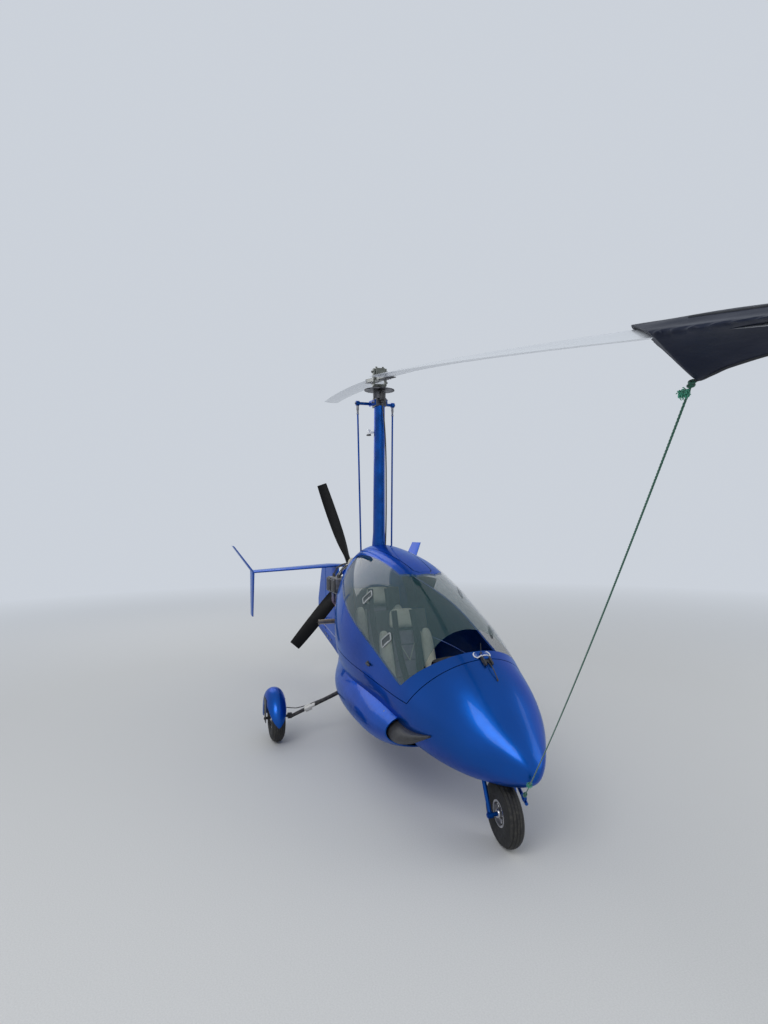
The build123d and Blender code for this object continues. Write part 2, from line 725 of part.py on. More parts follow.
# Hub bar with the block that hangs it on the teeter bolt, and the block's two top bolts
BLOCK_LENGTH = 84.0
BLOCK_TOP = 30.0
TOP_BOLT_Y = 27.0
TOP_BOLT_RADIUS = 8.0
bolt_plane = Plane(origin=teeter_plane.origin, x_dir=teeter_plane.x_dir, z_dir=teeter_plane.y_dir)
with BuildPart() as hub_bar:
    with BuildSketch(beam_plane.offset(-HUB_BAR_HEIGHT / 2)):
        RectangleRounded(2 * HUB_BAR_HALF, HUB_BAR_WIDTH, 10)
    extrude(amount=HUB_BAR_HEIGHT)
    with BuildSketch(teeter_plane.offset(-UNDERSLING)):
        RectangleRounded(BLOCK_LENGTH, HUB_BAR_WIDTH, 8)
    extrude(amount=UNDERSLING + BLOCK_TOP)
    with BuildSketch(teeter_plane.offset(BLOCK_TOP)):
        with Locations((0, TOP_BOLT_Y), (0, -TOP_BOLT_Y)):
            Circle(TOP_BOLT_RADIUS)
    extrude(amount=12)
    with BuildSketch(bolt_plane.offset(-CHEEK_GAP - CHEEK - 14)):
        Circle(TEETER_BOLT / 2)
    extrude(amount=2 * (CHEEK_GAP + CHEEK + 14))
hub_bar.part.label = "hub_bar"


def sag_at(span):
    return BLADE_SAG * (span / ROTOR_RADIUS) ** 2


# Blade stations: share of the span, nose-up pitch; the tied front blade is wrung by its rope
FRONT_TWIST = [(0.0, 3), (0.34, 9), (0.67, 12), (1.0, 13)]
REAR_TWIST = [(0.0, 3), (0.34, 3), (0.67, 3), (1.0, 3)]


def rotor_blade(plane, twist, grow=0.0):
    """A blade along the plane's X axis, sagging toward its tip; grow adds to it all round."""
    nose = ROTOR_CHORD * BLADE_NOSE + grow
    tail = nose - ROTOR_CHORD - 2 * grow
    above = ROTOR_THICKNESS * 0.62 + grow
    below = ROTOR_THICKNESS * 0.38 + grow
    with BuildPart() as blade:
        for share, pitch in twist:
            span = HUB_BAR_HALF + share * (ROTOR_RADIUS - HUB_BAR_HALF)
            section_plane = Plane(
                origin=plane.from_local_coords(Vector(span, 0, -sag_at(span))),
                x_dir=plane.y_dir * cos(radians(pitch)) + plane.z_dir * sin(radians(pitch)),
                z_dir=plane.x_dir,
            )
            with BuildSketch(section_plane):
                with BuildLine():
                    ThreePointArc((nose, 0), (nose * 0.6 + tail * 0.4, above), (tail, 0))
                    ThreePointArc((tail, 0), (nose * 0.6 + tail * 0.4, -below), (nose, 0))
                make_face()
        loft()
    return blade.part


blade_front = rotor_blade(beam_plane, FRONT_TWIST)
blade_front.label = "blade_front"
blade_rear = rotor_blade(turned(beam_plane, angle_z=180), REAR_TWIST)
blade_rear.label = "blade_rear"

# Cover tied over the front blade's tip, drawn down to a keel: span, half width, rise, drop
COVER_SECTIONS = [
    (3400, 124, 36, 100),
    (3560, 130, 37, 108),
    (3750, 132, 38, 113),
    (3910, 130, 36, 72),
    (4080, 126, 34, 54),
    (4240, 120, 30, 42),
]
COVER_CLEAR = 1.5
COVER_TILT = sin(radians(FRONT_TWIST[-1][1]))
# Its slanted mouth passes through these points of the blade: span, sideways, up
MOUTH_LEADING = Vector(3440, 55, 0)
MOUTH_TRAILING = Vector(3640, -150, 0)
MOUTH_LOWEST = Vector(3750, -48, -113)
blade_middle = ROTOR_CHORD * (BLADE_NOSE - 0.5)
with BuildPart() as tip_cover:
    for span, half, rise, drop in COVER_SECTIONS:
        cover_plane = Plane(
            origin=beam_plane.from_local_coords(Vector(span, blade_middle, -sag_at(span))),
            x_dir=beam_plane.y_dir,
            z_dir=beam_plane.x_dir,
        )
        with BuildSketch(cover_plane):
            with BuildLine():
                tilt = half * COVER_TILT
                ThreePointArc((half, tilt), (0, rise), (-half, -tilt))
                ThreePointArc((-half, -tilt), (-half * 0.56, -drop * 0.6), (0, -drop))
                ThreePointArc((0, -drop), (half * 0.56, -drop * 0.5), (half, tilt))
            make_face()
    loft()
    mouth_drop = Vector(0, 0, -sag_at(MOUTH_LEADING.X))
    leading, trailing, lowest = [
        beam_plane.from_local_coords(corner + mouth_drop)
        for corner in (MOUTH_LEADING, MOUTH_TRAILING, MOUTH_LOWEST)
    ]
    mouth_out = (trailing - leading).cross(lowest - leading)
    split(bisect_by=Plane(origin=leading, z_dir=mouth_out), keep=Keep.TOP)
    add(rotor_blade(beam_plane, FRONT_TWIST, grow=COVER_CLEAR), mode=Mode.SUBTRACT)
tip_cover.part.label = "tip_cover"

with BuildPart() as control_rods:
    with BuildSketch(Plane.XZ.offset(-CROSSBAR_HALF)):
        with Locations((CROSSBAR_X, CROSSBAR_Z)):
            Circle(CROSSBAR_RADIUS)
    extrude(amount=2 * CROSSBAR_HALF)
    for sign in (1, -1):
        top = Vector(CROSSBAR_X, sign * CROSSBAR_HALF, CROSSBAR_Z)
        foot = Vector(ROD_FOOT_X, sign * ROD_FOOT_Y, ROD_FOOT_Z)
        with BuildSketch(Plane(origin=foot, x_dir=(0, 1, 0), z_dir=top - foot)):
            Circle(ROD_RADIUS)
        extrude(amount=(top - foot).length)
        with BuildSketch(Plane.XZ.offset(-sign * CROSSBAR_HALF - 14)):
            with Locations((CROSSBAR_X, CROSSBAR_Z)):
                Circle(20)
        extrude(amount=28)
control_rods.part.label = "control_rods"

BRACKET_THICK = 8.0
with BuildPart() as head_bracket:
    for start in (HEAD_WIDTH / 2 + BRACKET_THICK, -HEAD_WIDTH / 2):
        with BuildSketch(Plane.XZ.offset(-start)):
            with BuildLine():
                Polyline(
                    (36, MAST_TOP_Z + 8),
                    (36, MAST_TOP_Z + 52),
                    (CROSSBAR_X, CROSSBAR_Z + 22),
                    (CROSSBAR_X - 22, CROSSBAR_Z),
                    (CROSSBAR_X, CROSSBAR_Z - 22),
                    close=True,
                )
            make_face()
            with Locations((CROSSBAR_X, CROSSBAR_Z)):
                Circle(CROSSBAR_RADIUS, mode=Mode.SUBTRACT)
        extrude(amount=BRACKET_THICK)
head_bracket.part.label = "head_bracket"

with BuildPart() as beacon:
    with BuildSketch(Plane.XY.offset(2385)):
        with Locations((-104, -64)):
            Circle(15)
    extrude(amount=44)
    fillet(beacon.edges().filter_by(GeomType.CIRCLE).sort_by(Axis.Z)[-1], 12)
    with BuildSketch(Plane.XZ.offset(64)):
        with Locations((-80, 2398)):
            Rectangle(48, 14)
    extrude(amount=-40)
    add(mast.part, mode=Mode.SUBTRACT)
beacon.part.label = "beacon"

# Propeller: hub with spacer, three square-tipped blades, twisted
prop_plane = Plane(origin=(PROP_X, 0, PROP_Z), x_dir=(0, 0, 1), z_dir=(-1, 0, 0))
blade_zero = turned(prop_plane, angle_z=PROP_FIRST_BLADE)
PROP_SHAFT_RADIUS = 24.0
with BuildPart() as propeller_hub:
    with BuildSketch(prop_plane.offset(-PROP_HUB_LENGTH / 2)):
        Circle(PROP_HUB_RADIUS)
    extrude(amount=PROP_HUB_LENGTH)
    with BuildSketch(prop_plane.offset(PROP_HUB_LENGTH / 2)):
        with PolarLocations(42, 6):
            RegularPolygon(8, 6)
    extrude(amount=9)
    with BuildSketch(prop_plane.offset(-PROP_HUB_LENGTH / 2)):
        Circle(PROP_SHAFT_RADIUS + AXLE_FIT)
    extrude(amount=PROP_HUB_LENGTH - 12, mode=Mode.SUBTRACT)
    for blade in range(PROP_BLADES):
        arm = turned(blade_zero, angle_z=blade * 360 / PROP_BLADES)
        with BuildSketch(Plane(origin=arm.origin, x_dir=arm.y_dir, z_dir=arm.x_dir).offset(30)):
            Circle(34)
        extrude(amount=66)
    with BuildSketch(prop_plane.offset(-PROP_HUB_LENGTH / 2)):
        Circle(PROP_SHAFT_RADIUS + AXLE_FIT)
    extrude(amount=PROP_HUB_LENGTH - 12, mode=Mode.SUBTRACT)
propeller_hub.part.label = "propeller_hub"

# Propeller blade stations: radius, chord, thickness, pitch
PROP_STATIONS = [
    (96, 62, 50, 58),
    (200, 104, 30, 40),
    (420, 126, 20, 26),
    (660, 118, 15, 19),
    (PROP_RADIUS, 100, 10, 15),
]
with BuildPart() as propeller_blades:
    for blade in range(PROP_BLADES):
        arm = turned(blade_zero, angle_z=blade * 360 / PROP_BLADES)
        stations = []
        for reach, chord, thick, pitch in PROP_STATIONS:
            section = Plane(
                origin=arm.from_local_coords(Vector(reach, 0, 0)),
                x_dir=arm.y_dir * cos(radians(pitch)) + arm.z_dir * sin(radians(pitch)),
                z_dir=arm.x_dir,
            )
            with BuildSketch(section, mode=Mode.PRIVATE) as station:
                with BuildLine():
                    ThreePointArc((chord * 0.4, 0), (chord * 0.05, thick * 0.6), (-chord * 0.6, 0))
                    ThreePointArc((-chord * 0.6, 0), (chord * 0.02, -thick * 0.4), (chord * 0.4, 0))
                make_face()
            stations.append(station.sketch.face())
        loft(stations)
propeller_blades.part.label = "propeller_blades"

# Engine: flat four, its reduction gear toward the propeller
ENGINE_FRONT_X = -330.0
ENGINE_REAR_X = -680.0
CRANKCASE_HALF = 92.0
CYLINDER_XS = (-412.0, -574.0)
CYLINDER_STAGGER = 18.0
CYLINDER_RADIUS = 54.0
CYLINDER_END = 214.0
HEAD_END = 292.0
with BuildPart() as engine_block:
    with BuildSketch(Plane.YZ.offset(ENGINE_REAR_X)):
        with Locations((0, CRANK_Z)):
            RectangleRounded(2 * CRANKCASE_HALF, 236, 34)
    extrude(amount=ENGINE_FRONT_X - ENGINE_REAR_X)
    with BuildSketch(Plane.YZ.offset(ENGINE_FRONT_X)):
        with Locations((0, CRANK_Z)):
            Circle(78)
    extrude(amount=46)
engine_block.part.label = "engine_block"

with BuildPart() as engine_cylinders:
    for sign in (1, -1):
        for x in CYLINDER_XS:
            place = x + sign * CYLINDER_STAGGER / 2
            with BuildSketch(Plane.XZ.offset(-sign * CRANKCASE_HALF)):
                with Locations((place, CRANK_Z)):
                    Circle(CYLINDER_RADIUS)
            extrude(amount=-sign * (CYLINDER_END - CRANKCASE_HALF))
            for fin in range(7):
                with BuildSketch(Plane.XZ.offset(-sign * (CRANKCASE_HALF + 18 + fin * 14))):
                    with Locations((place, CRANK_Z)):
                        Circle(CYLINDER_RADIUS + 12)
                extrude(amount=-sign * 4)
            with BuildSketch(Plane.XZ.offset(-sign * CYLINDER_END)):
                with Locations((place, CRANK_Z)):
                    RectangleRounded(128, 132, 16)
            extrude(amount=-sign * (HEAD_END - CYLINDER_END))
engine_cylinders.part.label = "engine_cylinders"

GEARBOX_REAR_X = PROP_X + PROP_HUB_LENGTH / 2 + 8
with BuildPart() as reduction_gearbox:
    with BuildSketch(Plane.YZ.offset(ENGINE_REAR_X)):
        with BuildLine():
            ThreePointArc((-88, CRANK_Z), (0, CRANK_Z - 88), (88, CRANK_Z))
            Line((88, CRANK_Z), (74, PROP_Z))
            ThreePointArc((74, PROP_Z), (0, PROP_Z + 74), (-74, PROP_Z))
            Line((-74, PROP_Z), (-88, CRANK_Z))
        make_face()
    extrude(amount=GEARBOX_REAR_X - ENGINE_REAR_X)
    with BuildSketch(Plane.YZ.offset(GEARBOX_REAR_X)):
        with Locations((0, PROP_Z)):
            Circle(PROP_SHAFT_RADIUS)
    extrude(amount=-(GEARBOX_REAR_X - PROP_X) - PROP_HUB_LENGTH / 2 + 16)
reduction_gearbox.part.label = "reduction_gearbox"

# Exhaust: silencer across below the engine, four headers, a tail pipe to starboard
SILENCER_X = -600.0
SILENCER_Z = 800.0
SILENCER_RADIUS = 62.0
SILENCER_HALF = 205.0
SILENCER_WALL = 4.0
SILENCER_CORNER = 16.0
TAIL_PIPE_RADIUS = 21.0
TAIL_PIPE_LENGTH = 190.0
HEADER_RADIUS = 17.0
with BuildPart() as silencer_bore:
    with BuildSketch(Plane.XZ.offset(-SILENCER_HALF + SILENCER_WALL)):
        with Locations((SILENCER_X, SILENCER_Z)):
            Circle(SILENCER_RADIUS - SILENCER_WALL)
    extrude(amount=2 * (SILENCER_HALF - SILENCER_WALL))
    fillet(silencer_bore.edges().filter_by(GeomType.CIRCLE), SILENCER_CORNER - SILENCER_WALL)
with BuildPart() as exhaust:
    with BuildSketch(Plane.XZ.offset(-SILENCER_HALF)):
        with Locations((SILENCER_X, SILENCER_Z)):
            Circle(SILENCER_RADIUS)
    extrude(amount=2 * SILENCER_HALF)
    fillet(exhaust.edges().filter_by(GeomType.CIRCLE), SILENCER_CORNER)
    with BuildSketch(Plane.XZ.offset(SILENCER_HALF - 4)):
        with Locations((SILENCER_X, SILENCER_Z - 12)):
            Circle(TAIL_PIPE_RADIUS)
    extrude(amount=TAIL_PIPE_LENGTH)
    for sign in (1, -1):
        for x in CYLINDER_XS:
            place = x + sign * CYLINDER_STAGGER / 2
            with BuildLine(mode=Mode.PRIVATE) as header_path:
                FilletPolyline(
                    (place, sign * 256, CRANK_Z - 66),
                    (place, sign * 256, CRANK_Z - 150),
                    (place * 0.5 + SILENCER_X * 0.5, sign * 190, SILENCER_Z + 70),
                    (SILENCER_X + 20, sign * 150, SILENCER_Z + 20),
                    radius=38,
                )
            with BuildSketch(Plane(origin=header_path.line @ 0, z_dir=header_path.line % 0)):
                Circle(HEADER_RADIUS)
            sweep(path=header_path.line)
    add(silencer_bore.part, mode=Mode.SUBTRACT)
    with BuildSketch(Plane.XZ.offset(SILENCER_HALF - 40)):
        with Locations((SILENCER_X, SILENCER_Z - 12)):
            Circle(TAIL_PIPE_RADIUS - SILENCER_WALL)
    extrude(amount=TAIL_PIPE_LENGTH + 60, mode=Mode.SUBTRACT)
exhaust.part.label = "exhaust"

# Engine bearer: four tubes from the firewall to the crankcase corners
BEARER_RADIUS = 11.0
with BuildPart() as engine_mount:
    for sign in (1, -1):
        for wall_y, wall_z, case_z in ((232, 1240, 1200), (232, 960, 1040)):
            foot = Vector(FIREWALL_X, sign * wall_y, wall_z)
            head = Vector(ENGINE_REAR_X + 90, sign * (CRANKCASE_HALF + 2), case_z)
            with BuildSketch(Plane(origin=foot, x_dir=(0, 1, 0), z_dir=head - foot)):
                Circle(BEARER_RADIUS)
            extrude(amount=(head - foot).length)
            with BuildSketch(Plane.YZ.offset(FIREWALL_X - 5)):
                with Locations((sign * wall_y, wall_z)):
                    Circle(30)
            extrude(amount=5)
    with BuildPart(mode=Mode.PRIVATE) as bearer_clear:
        add(engine_block.part)
        with BuildSketch(Plane.YZ.offset(FIREWALL_X)):
            Rectangle(2000, 4000)
        extrude(amount=60)
    add(bearer_clear.part, mode=Mode.SUBTRACT)
    add(engine_cylinders.part, mode=Mode.SUBTRACT)
engine_mount.part.label = "engine_mount"

with BuildPart() as radiator:
    with BuildSketch(Plane.YZ.offset(FIREWALL_X - 62)):
        with Locations((0, 690)):
            RectangleRounded(360, 210, 14)
    extrude(amount=44)
    with BuildSketch(Plane.YZ.offset(FIREWALL_X - 18)):
        with Locations((0, 690)):
            with GridLocations(300, 150, 2, 2):
                Circle(10)
    extrude(amount=18)
radiator.part.label = "radiator"

# Keel under the propeller, carrying the tail
KEEL_UNDERSIDE = [(-250, 292), (-700, 256), (-950, 256), (-1510, 362), (-2300, 490)]
KEEL_WALL = 4.0


def keel_form(inset, beyond):
    """The keel's outer form, or its bore: pulled in by a wall and run out past both ends."""
    front, *middle, rear = KEEL_UNDERSIDE
    run = [(front[0] + beyond, front[1]), *middle, (rear[0] - beyond, rear[1])]
    half = KEEL_WIDTH / 2 - inset
    with BuildPart() as form:
        with BuildSketch(Plane.XZ.offset(-half)):
            with BuildLine():
                lower = [(x, z + inset) for x, z in run]
                upper = [(x, z + KEEL_HEIGHT - inset) for x, z in reversed(run)]
                Polyline(*lower, *upper, close=True)
            make_face()
        extrude(amount=2 * half)
        fillet(form.edges().filter_by(Axis.Y, reverse=True).filter_by(Plane.XZ), 12 - inset)
    return form.part


keel_outside = keel_form(0, 0)
with BuildPart() as keel:
    add(keel_outside)
    add(keel_form(KEEL_WALL, 6), mode=Mode.SUBTRACT)
keel.part.label = "keel"

FIN_FRONT_X = -1350.0
FIN_REAR_X = RUDDER_HINGE_X + 24
RUDDER_RADIUS = 18.0
RUDDER_BOTTOM_Z = 545.0
FIN_LUG = 12.0
FIN_NOSE = 150.0
with BuildPart() as fin:
    for z, lead in ((380, FIN_FRONT_X + 90), (FIN_TOP_Z, FIN_FRONT_X - 40)):
        with BuildSketch(Plane.XY.offset(z)):
            with BuildLine():
                half = FIN_THICKNESS / 2
                belly = lead - FIN_NOSE
                EllipticalCenterArc((belly, 0), FIN_NOSE, half, start_angle=-90, arc_size=180)
                Polyline((belly, -half), (FIN_REAR_X, -RUDDER_RADIUS), (FIN_REAR_X, RUDDER_RADIUS))
                Line((FIN_REAR_X, RUDDER_RADIUS), (belly, half))
            make_face()
    loft()
    for z in (RUDDER_BOTTOM_Z - 6 - FIN_LUG, FIN_TOP_Z - FIN_LUG):
        with BuildSketch(Plane.XY.offset(z)):
            SlotCenterPoint(((FIN_REAR_X + RUDDER_HINGE_X) / 2 + 6, 0), (RUDDER_HINGE_X, 0), 32)
        extrude(amount=FIN_LUG)
        with BuildSketch(Plane.XY.offset(z)):
            with Locations((RUDDER_HINGE_X, 0)):
                Circle(5 + AXLE_FIT)
        extrude(amount=FIN_LUG, mode=Mode.SUBTRACT)
    add(keel_outside, mode=Mode.SUBTRACT)
    split(bisect_by=Plane.XY.offset(420), keep=Keep.TOP)
fin.part.label = "fin"

with BuildPart() as rudder:
    with BuildSketch(Plane.XZ.offset(-60)) as rudder_side:
        with BuildLine():
            Polyline(
                (RUDDER_HINGE_X + RUDDER_RADIUS, RUDDER_BOTTOM_Z),
                (-2300, 615),
                (-2300, 800),
                (-2078, FIN_TOP_Z - FIN_LUG - 6),
                (RUDDER_HINGE_X + RUDDER_RADIUS, FIN_TOP_Z - FIN_LUG - 6),
                close=True,
            )
        make_face()
    extrude(amount=120)
    with BuildPart(mode=Mode.PRIVATE) as rudder_form:
        with BuildSketch(Plane.XY.offset(500)):
            with BuildLine():
                r = RUDDER_RADIUS
                ThreePointArc(
                    (RUDDER_HINGE_X, r), (RUDDER_HINGE_X + r, 0), (RUDDER_HINGE_X, -r)
                )
                Polyline((RUDDER_HINGE_X, -r), (-2300, -3), (-2300, 3), (RUDDER_HINGE_X, r))
            make_face()
        extrude(amount=800)
    add(rudder_form.part, mode=Mode.INTERSECT)
    with BuildSketch(Plane.XY.offset(RUDDER_BOTTOM_Z - 6 - FIN_LUG)):
        with Locations((RUDDER_HINGE_X, 0)):
            Circle(5)
    extrude(amount=FIN_TOP_Z - RUDDER_BOTTOM_Z + 6 + FIN_LUG)
rudder.part.label = "rudder"

TRAIL_EDGE = 2.0
FOIL_NOSE = 0.3
# Stabilizer: y, z, nose x, chord, thickness
STAB_SECTIONS = [
    (-STAB_HALF_SPAN, STAB_TIP_Z, -1435, 330, 27),
    (0, STAB_ROOT_Z + 6, -1372, 455, 34),
    (STAB_HALF_SPAN, STAB_TIP_Z, -1435, 330, 27),
]


def foil(plane, chord, thickness):
    """A symmetric section, its nose at the plane's origin and its chord along -x."""
    with BuildSketch(plane, mode=Mode.PRIVATE) as section:
        with BuildLine():
            half = thickness / 2
            nose = chord * FOIL_NOSE
            EllipticalCenterArc((-nose, 0), nose, half, start_angle=-90, arc_size=180)
            Polyline(
                (-nose, half), (-chord, TRAIL_EDGE), (-chord, -TRAIL_EDGE), (-nose, -half)
            )
        make_face()
    return section.sketch.face()


with BuildPart() as stabilizer:
    stations = []
    for y, z, nose_x, chord, thick in STAB_SECTIONS:
        plane = Plane(origin=(nose_x, y, z), x_dir=(1, 0, 0), z_dir=(0, -1, 0))
        stations.append(foil(plane, chord, thick))
    loft(stations, ruled=True)
    add(fin.part, mode=Mode.SUBTRACT)
stabilizer.part.label = "stabilizer"

# Tip fins: nose x, y and z, chord, thickness
UPPER_TIP = [(-1435, 850, 1186, 330, 27), (-1625, 1028, 1445, 250, 16)]
LOWER_TIP = [(-1435, 850, 1186, 330, 27), (-1500, 853, 740, 200, 15)]
with BuildPart() as tip_fin:
    for table, rise in ((UPPER_TIP, 1), (LOWER_TIP, -1)):
        stations = []
        for x, y, z, chord, thick in table:
            plane = Plane(origin=(x, y, z), x_dir=(1, 0, 0), z_dir=(0, 0, rise))
            stations.append(foil(plane, chord, thick))
        loft(stations)
    add(stabilizer.part, mode=Mode.SUBTRACT)
with BuildPart() as tip_fins:
    add(tip_fin.part)
    mirror(about=Plane.XZ)
tip_fins.part.label = "tip_fins"

# Cabin floor, seats, panel and controls
FLOOR_Z = 352.0
FLOOR_THICK = 10.0
FLOOR_FRONT_X = 1600.0
with BuildPart() as cabin_floor:
    with BuildSketch(Plane.XY.offset(FLOOR_Z - FLOOR_THICK)):
        with Locations(((FLOOR_FRONT_X + FIREWALL_X + WALL) / 2, 0)):
            Rectangle(FLOOR_FRONT_X - FIREWALL_X - WALL, 1200)
    extrude(amount=FLOOR_THICK)
    add(body_inside, mode=Mode.INTERSECT)
cabin_floor.part.label = "cabin_floor"

SEAT_WIDTH = 430.0
SEAT_BACK_THICK = 70.0
SEAT_PAN_THICK = 60.0
BASE_WIDTH = 300.0
# Seats: name, hinge of pan and back, pan length, back height, lean of the back
SEATS = [
    ("front_seat", 690, 440, 400, 640, 22),
    ("rear_seat", 60, 500, 400, 660, 14),
]
seats = []
for name, hip_x, hip_z, pan, back, lean in SEATS:
    with BuildPart() as seat:
        top_x = hip_x - back * sin(radians(lean))
        top_z = hip_z + back * cos(radians(lean))
        with BuildSketch(Plane.XZ.offset(-SEAT_WIDTH / 2)):
            with BuildLine():
                Polyline(
                    (hip_x, hip_z),
                    (hip_x + pan, hip_z + 46),
                    (hip_x + pan, hip_z + 46 - SEAT_PAN_THICK),
                    (hip_x - SEAT_BACK_THICK, hip_z - SEAT_PAN_THICK),
                    (top_x - SEAT_BACK_THICK, top_z),
                    (top_x, top_z),
                    close=True,
                )
            make_face()
        extrude(amount=SEAT_WIDTH)
        fillet(seat.edges().filter_by(Axis.Y).group_by(Axis.Z)[-1], 30)
        with BuildSketch(Plane.XY.offset(FLOOR_Z)):
            with Locations((hip_x + pan / 2 - 20, 0)):
                RectangleRounded(pan - 60, BASE_WIDTH, 20)
        extrude(amount=hip_z - SEAT_PAN_THICK - FLOOR_Z + 10)
    seat.part.label = name
    seats.append(seat.part)

PANEL_X = 1330.0
with BuildPart() as instrument_panel:
    with BuildSketch(Plane.YZ.offset(PANEL_X)):
        with Locations((0, 690)):
            RectangleRounded(300, 290, 40)
    extrude(amount=40)
    with BuildSketch(Plane.YZ.offset(PANEL_X)):
        with Locations((0, 450)):
            Rectangle(120, 2 * (450 - FLOOR_Z))
    extrude(amount=40)
instrument_panel.part.label = "instrument_panel"

with BuildPart() as control_sticks:
    for x, height in ((1160, 300), (520, 300)):
        with BuildSketch(Plane.XY.offset(FLOOR_Z)):
            with Locations((x, 0)):
                Circle(13)
        extrude(amount=height - 100)
        with BuildSketch(Plane.XY.offset(FLOOR_Z + height - 100)):
            with Locations((x, 0)):
                Circle(20)
        extrude(amount=110)
    add(seats[0], mode=Mode.SUBTRACT)
control_sticks.part.label = "control_sticks"

EXPORTS = [
    hull.part, canopy_frame.part, canopy_glass.part, sponson_left.part, sponson_right,
    main_gear_legs.part, *wheels.values(), mudguards.part, guard_plates.part, nose_fork.part,
    tow_bar.part, steering_bearing.part, mast.part, rotor_head.part, ring_gear.part,
    teeter_tower.part, hub_bar.part, blade_front, blade_rear, tip_cover.part, control_rods.part,
    head_bracket.part, beacon.part, propeller_hub.part, propeller_blades.part, engine_block.part,
    engine_cylinders.part, reduction_gearbox.part, exhaust.part, engine_mount.part, radiator.part,
    keel.part, fin.part, rudder.part, stabilizer.part, tip_fins.part, cabin_floor.part, *seats,
    instrument_panel.part, control_sticks.part, canopy_hinge.part,
]
for part in EXPORTS:
    export_step(part, f"parts/{part.label}.step")
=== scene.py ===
"""Enclosed two-seat gyroplane: finishes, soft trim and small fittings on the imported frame."""

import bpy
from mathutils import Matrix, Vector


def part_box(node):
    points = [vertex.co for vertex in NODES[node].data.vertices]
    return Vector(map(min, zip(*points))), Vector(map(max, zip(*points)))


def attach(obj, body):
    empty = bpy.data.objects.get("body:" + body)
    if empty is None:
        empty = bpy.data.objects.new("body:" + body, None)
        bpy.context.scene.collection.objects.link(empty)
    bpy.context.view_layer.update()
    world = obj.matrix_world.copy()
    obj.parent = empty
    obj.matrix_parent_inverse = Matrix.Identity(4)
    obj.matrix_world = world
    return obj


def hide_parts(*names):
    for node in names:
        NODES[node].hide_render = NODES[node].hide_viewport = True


bl_info = {
    "name": "Two-seat gyroplane",
    "version": (1, 0, 0),
    "blender": (4, 5, 0),
    "location": "View3D > Sidebar > Gyroplane",
    "description": "Finishes, seats, rotor cover and small fittings of an enclosed gyroplane",
    "category": "Object",
}

import random
from contextlib import contextmanager
from math import cos, pi, radians, sin

import bmesh
import bpy
from bpy.props import FloatProperty, FloatVectorProperty, PointerProperty
from mathutils import Euler, Matrix, Vector

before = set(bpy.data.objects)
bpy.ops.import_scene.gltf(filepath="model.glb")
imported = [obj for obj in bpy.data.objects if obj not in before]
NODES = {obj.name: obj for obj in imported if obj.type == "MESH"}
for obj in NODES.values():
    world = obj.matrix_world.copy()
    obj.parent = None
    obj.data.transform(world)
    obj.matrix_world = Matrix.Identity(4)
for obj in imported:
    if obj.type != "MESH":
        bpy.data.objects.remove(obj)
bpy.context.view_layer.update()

SIDES = ((1, "left"), (-1, "right"))
SIGNS = (1, -1)


# Shader helpers


class Value:
    """An output of a shader tree; sums on it add Math nodes."""

    def __init__(self, owner, socket):
        self.owner = owner
        self.socket = socket

    def math(self, operation, first, second):
        return self.owner.add("ShaderNodeMath", {"operation": operation}, {0: first, 1: second})

    def __add__(self, other):
        return self.math("ADD", self, other)

    def __radd__(self, other):
        return self.math("ADD", other, self)

    def __sub__(self, other):
        return self.math("SUBTRACT", self, other)

    def __rsub__(self, other):
        return self.math("SUBTRACT", other, self)

    def __mul__(self, other):
        return self.math("MULTIPLY", self, other)

    def __rmul__(self, other):
        return self.math("MULTIPLY", other, self)

    def __pow__(self, power):
        return self.math("POWER", self, power)

    def __abs__(self):
        return self.math("ABSOLUTE", self, 0.0)

    def folded(self, pitch):
        """A saw that rises and falls over each pitch."""
        return self.math("PINGPONG", self, pitch)

    def over(self, low, high, start=0.0, end=1.0):
        """The value's way from low to high, held at both ends, as start to end."""
        return self.owner.add(
            "ShaderNodeMapRange",
            {"clamp": True},
            {"Value": self, "From Min": low, "From Max": high, "To Min": start, "To Max": end},
        )


class Tree:
    """A node tree that one method fills."""

    def __init__(self, tree):
        self.tree = tree

    def add(self, kind, settings=None, inputs=None, output=0):
        """A node of a type, with its settings and then its sockets' values or links."""
        node = self.tree.nodes.new(kind)
        for key, value in (settings or {}).items():
            if key == "stops":
                while len(node.color_ramp.elements) < len(value):
                    node.color_ramp.elements.new(0.5)
                for element, (place, colour) in zip(node.color_ramp.elements, value):
                    element.position = place
                    element.color = (*colour, 1)
            else:
                setattr(node, key, value)
        for key, value in (inputs or {}).items():
            if isinstance(value, Value):
                self.tree.links.new(value.socket, node.inputs[key])
            elif isinstance(value, tuple) and len(node.inputs[key].default_value) == 4:
                node.inputs[key].default_value = (*value, 1)
            else:
                node.inputs[key].default_value = value
        return Value(self, node.outputs[output]) if node.outputs else None


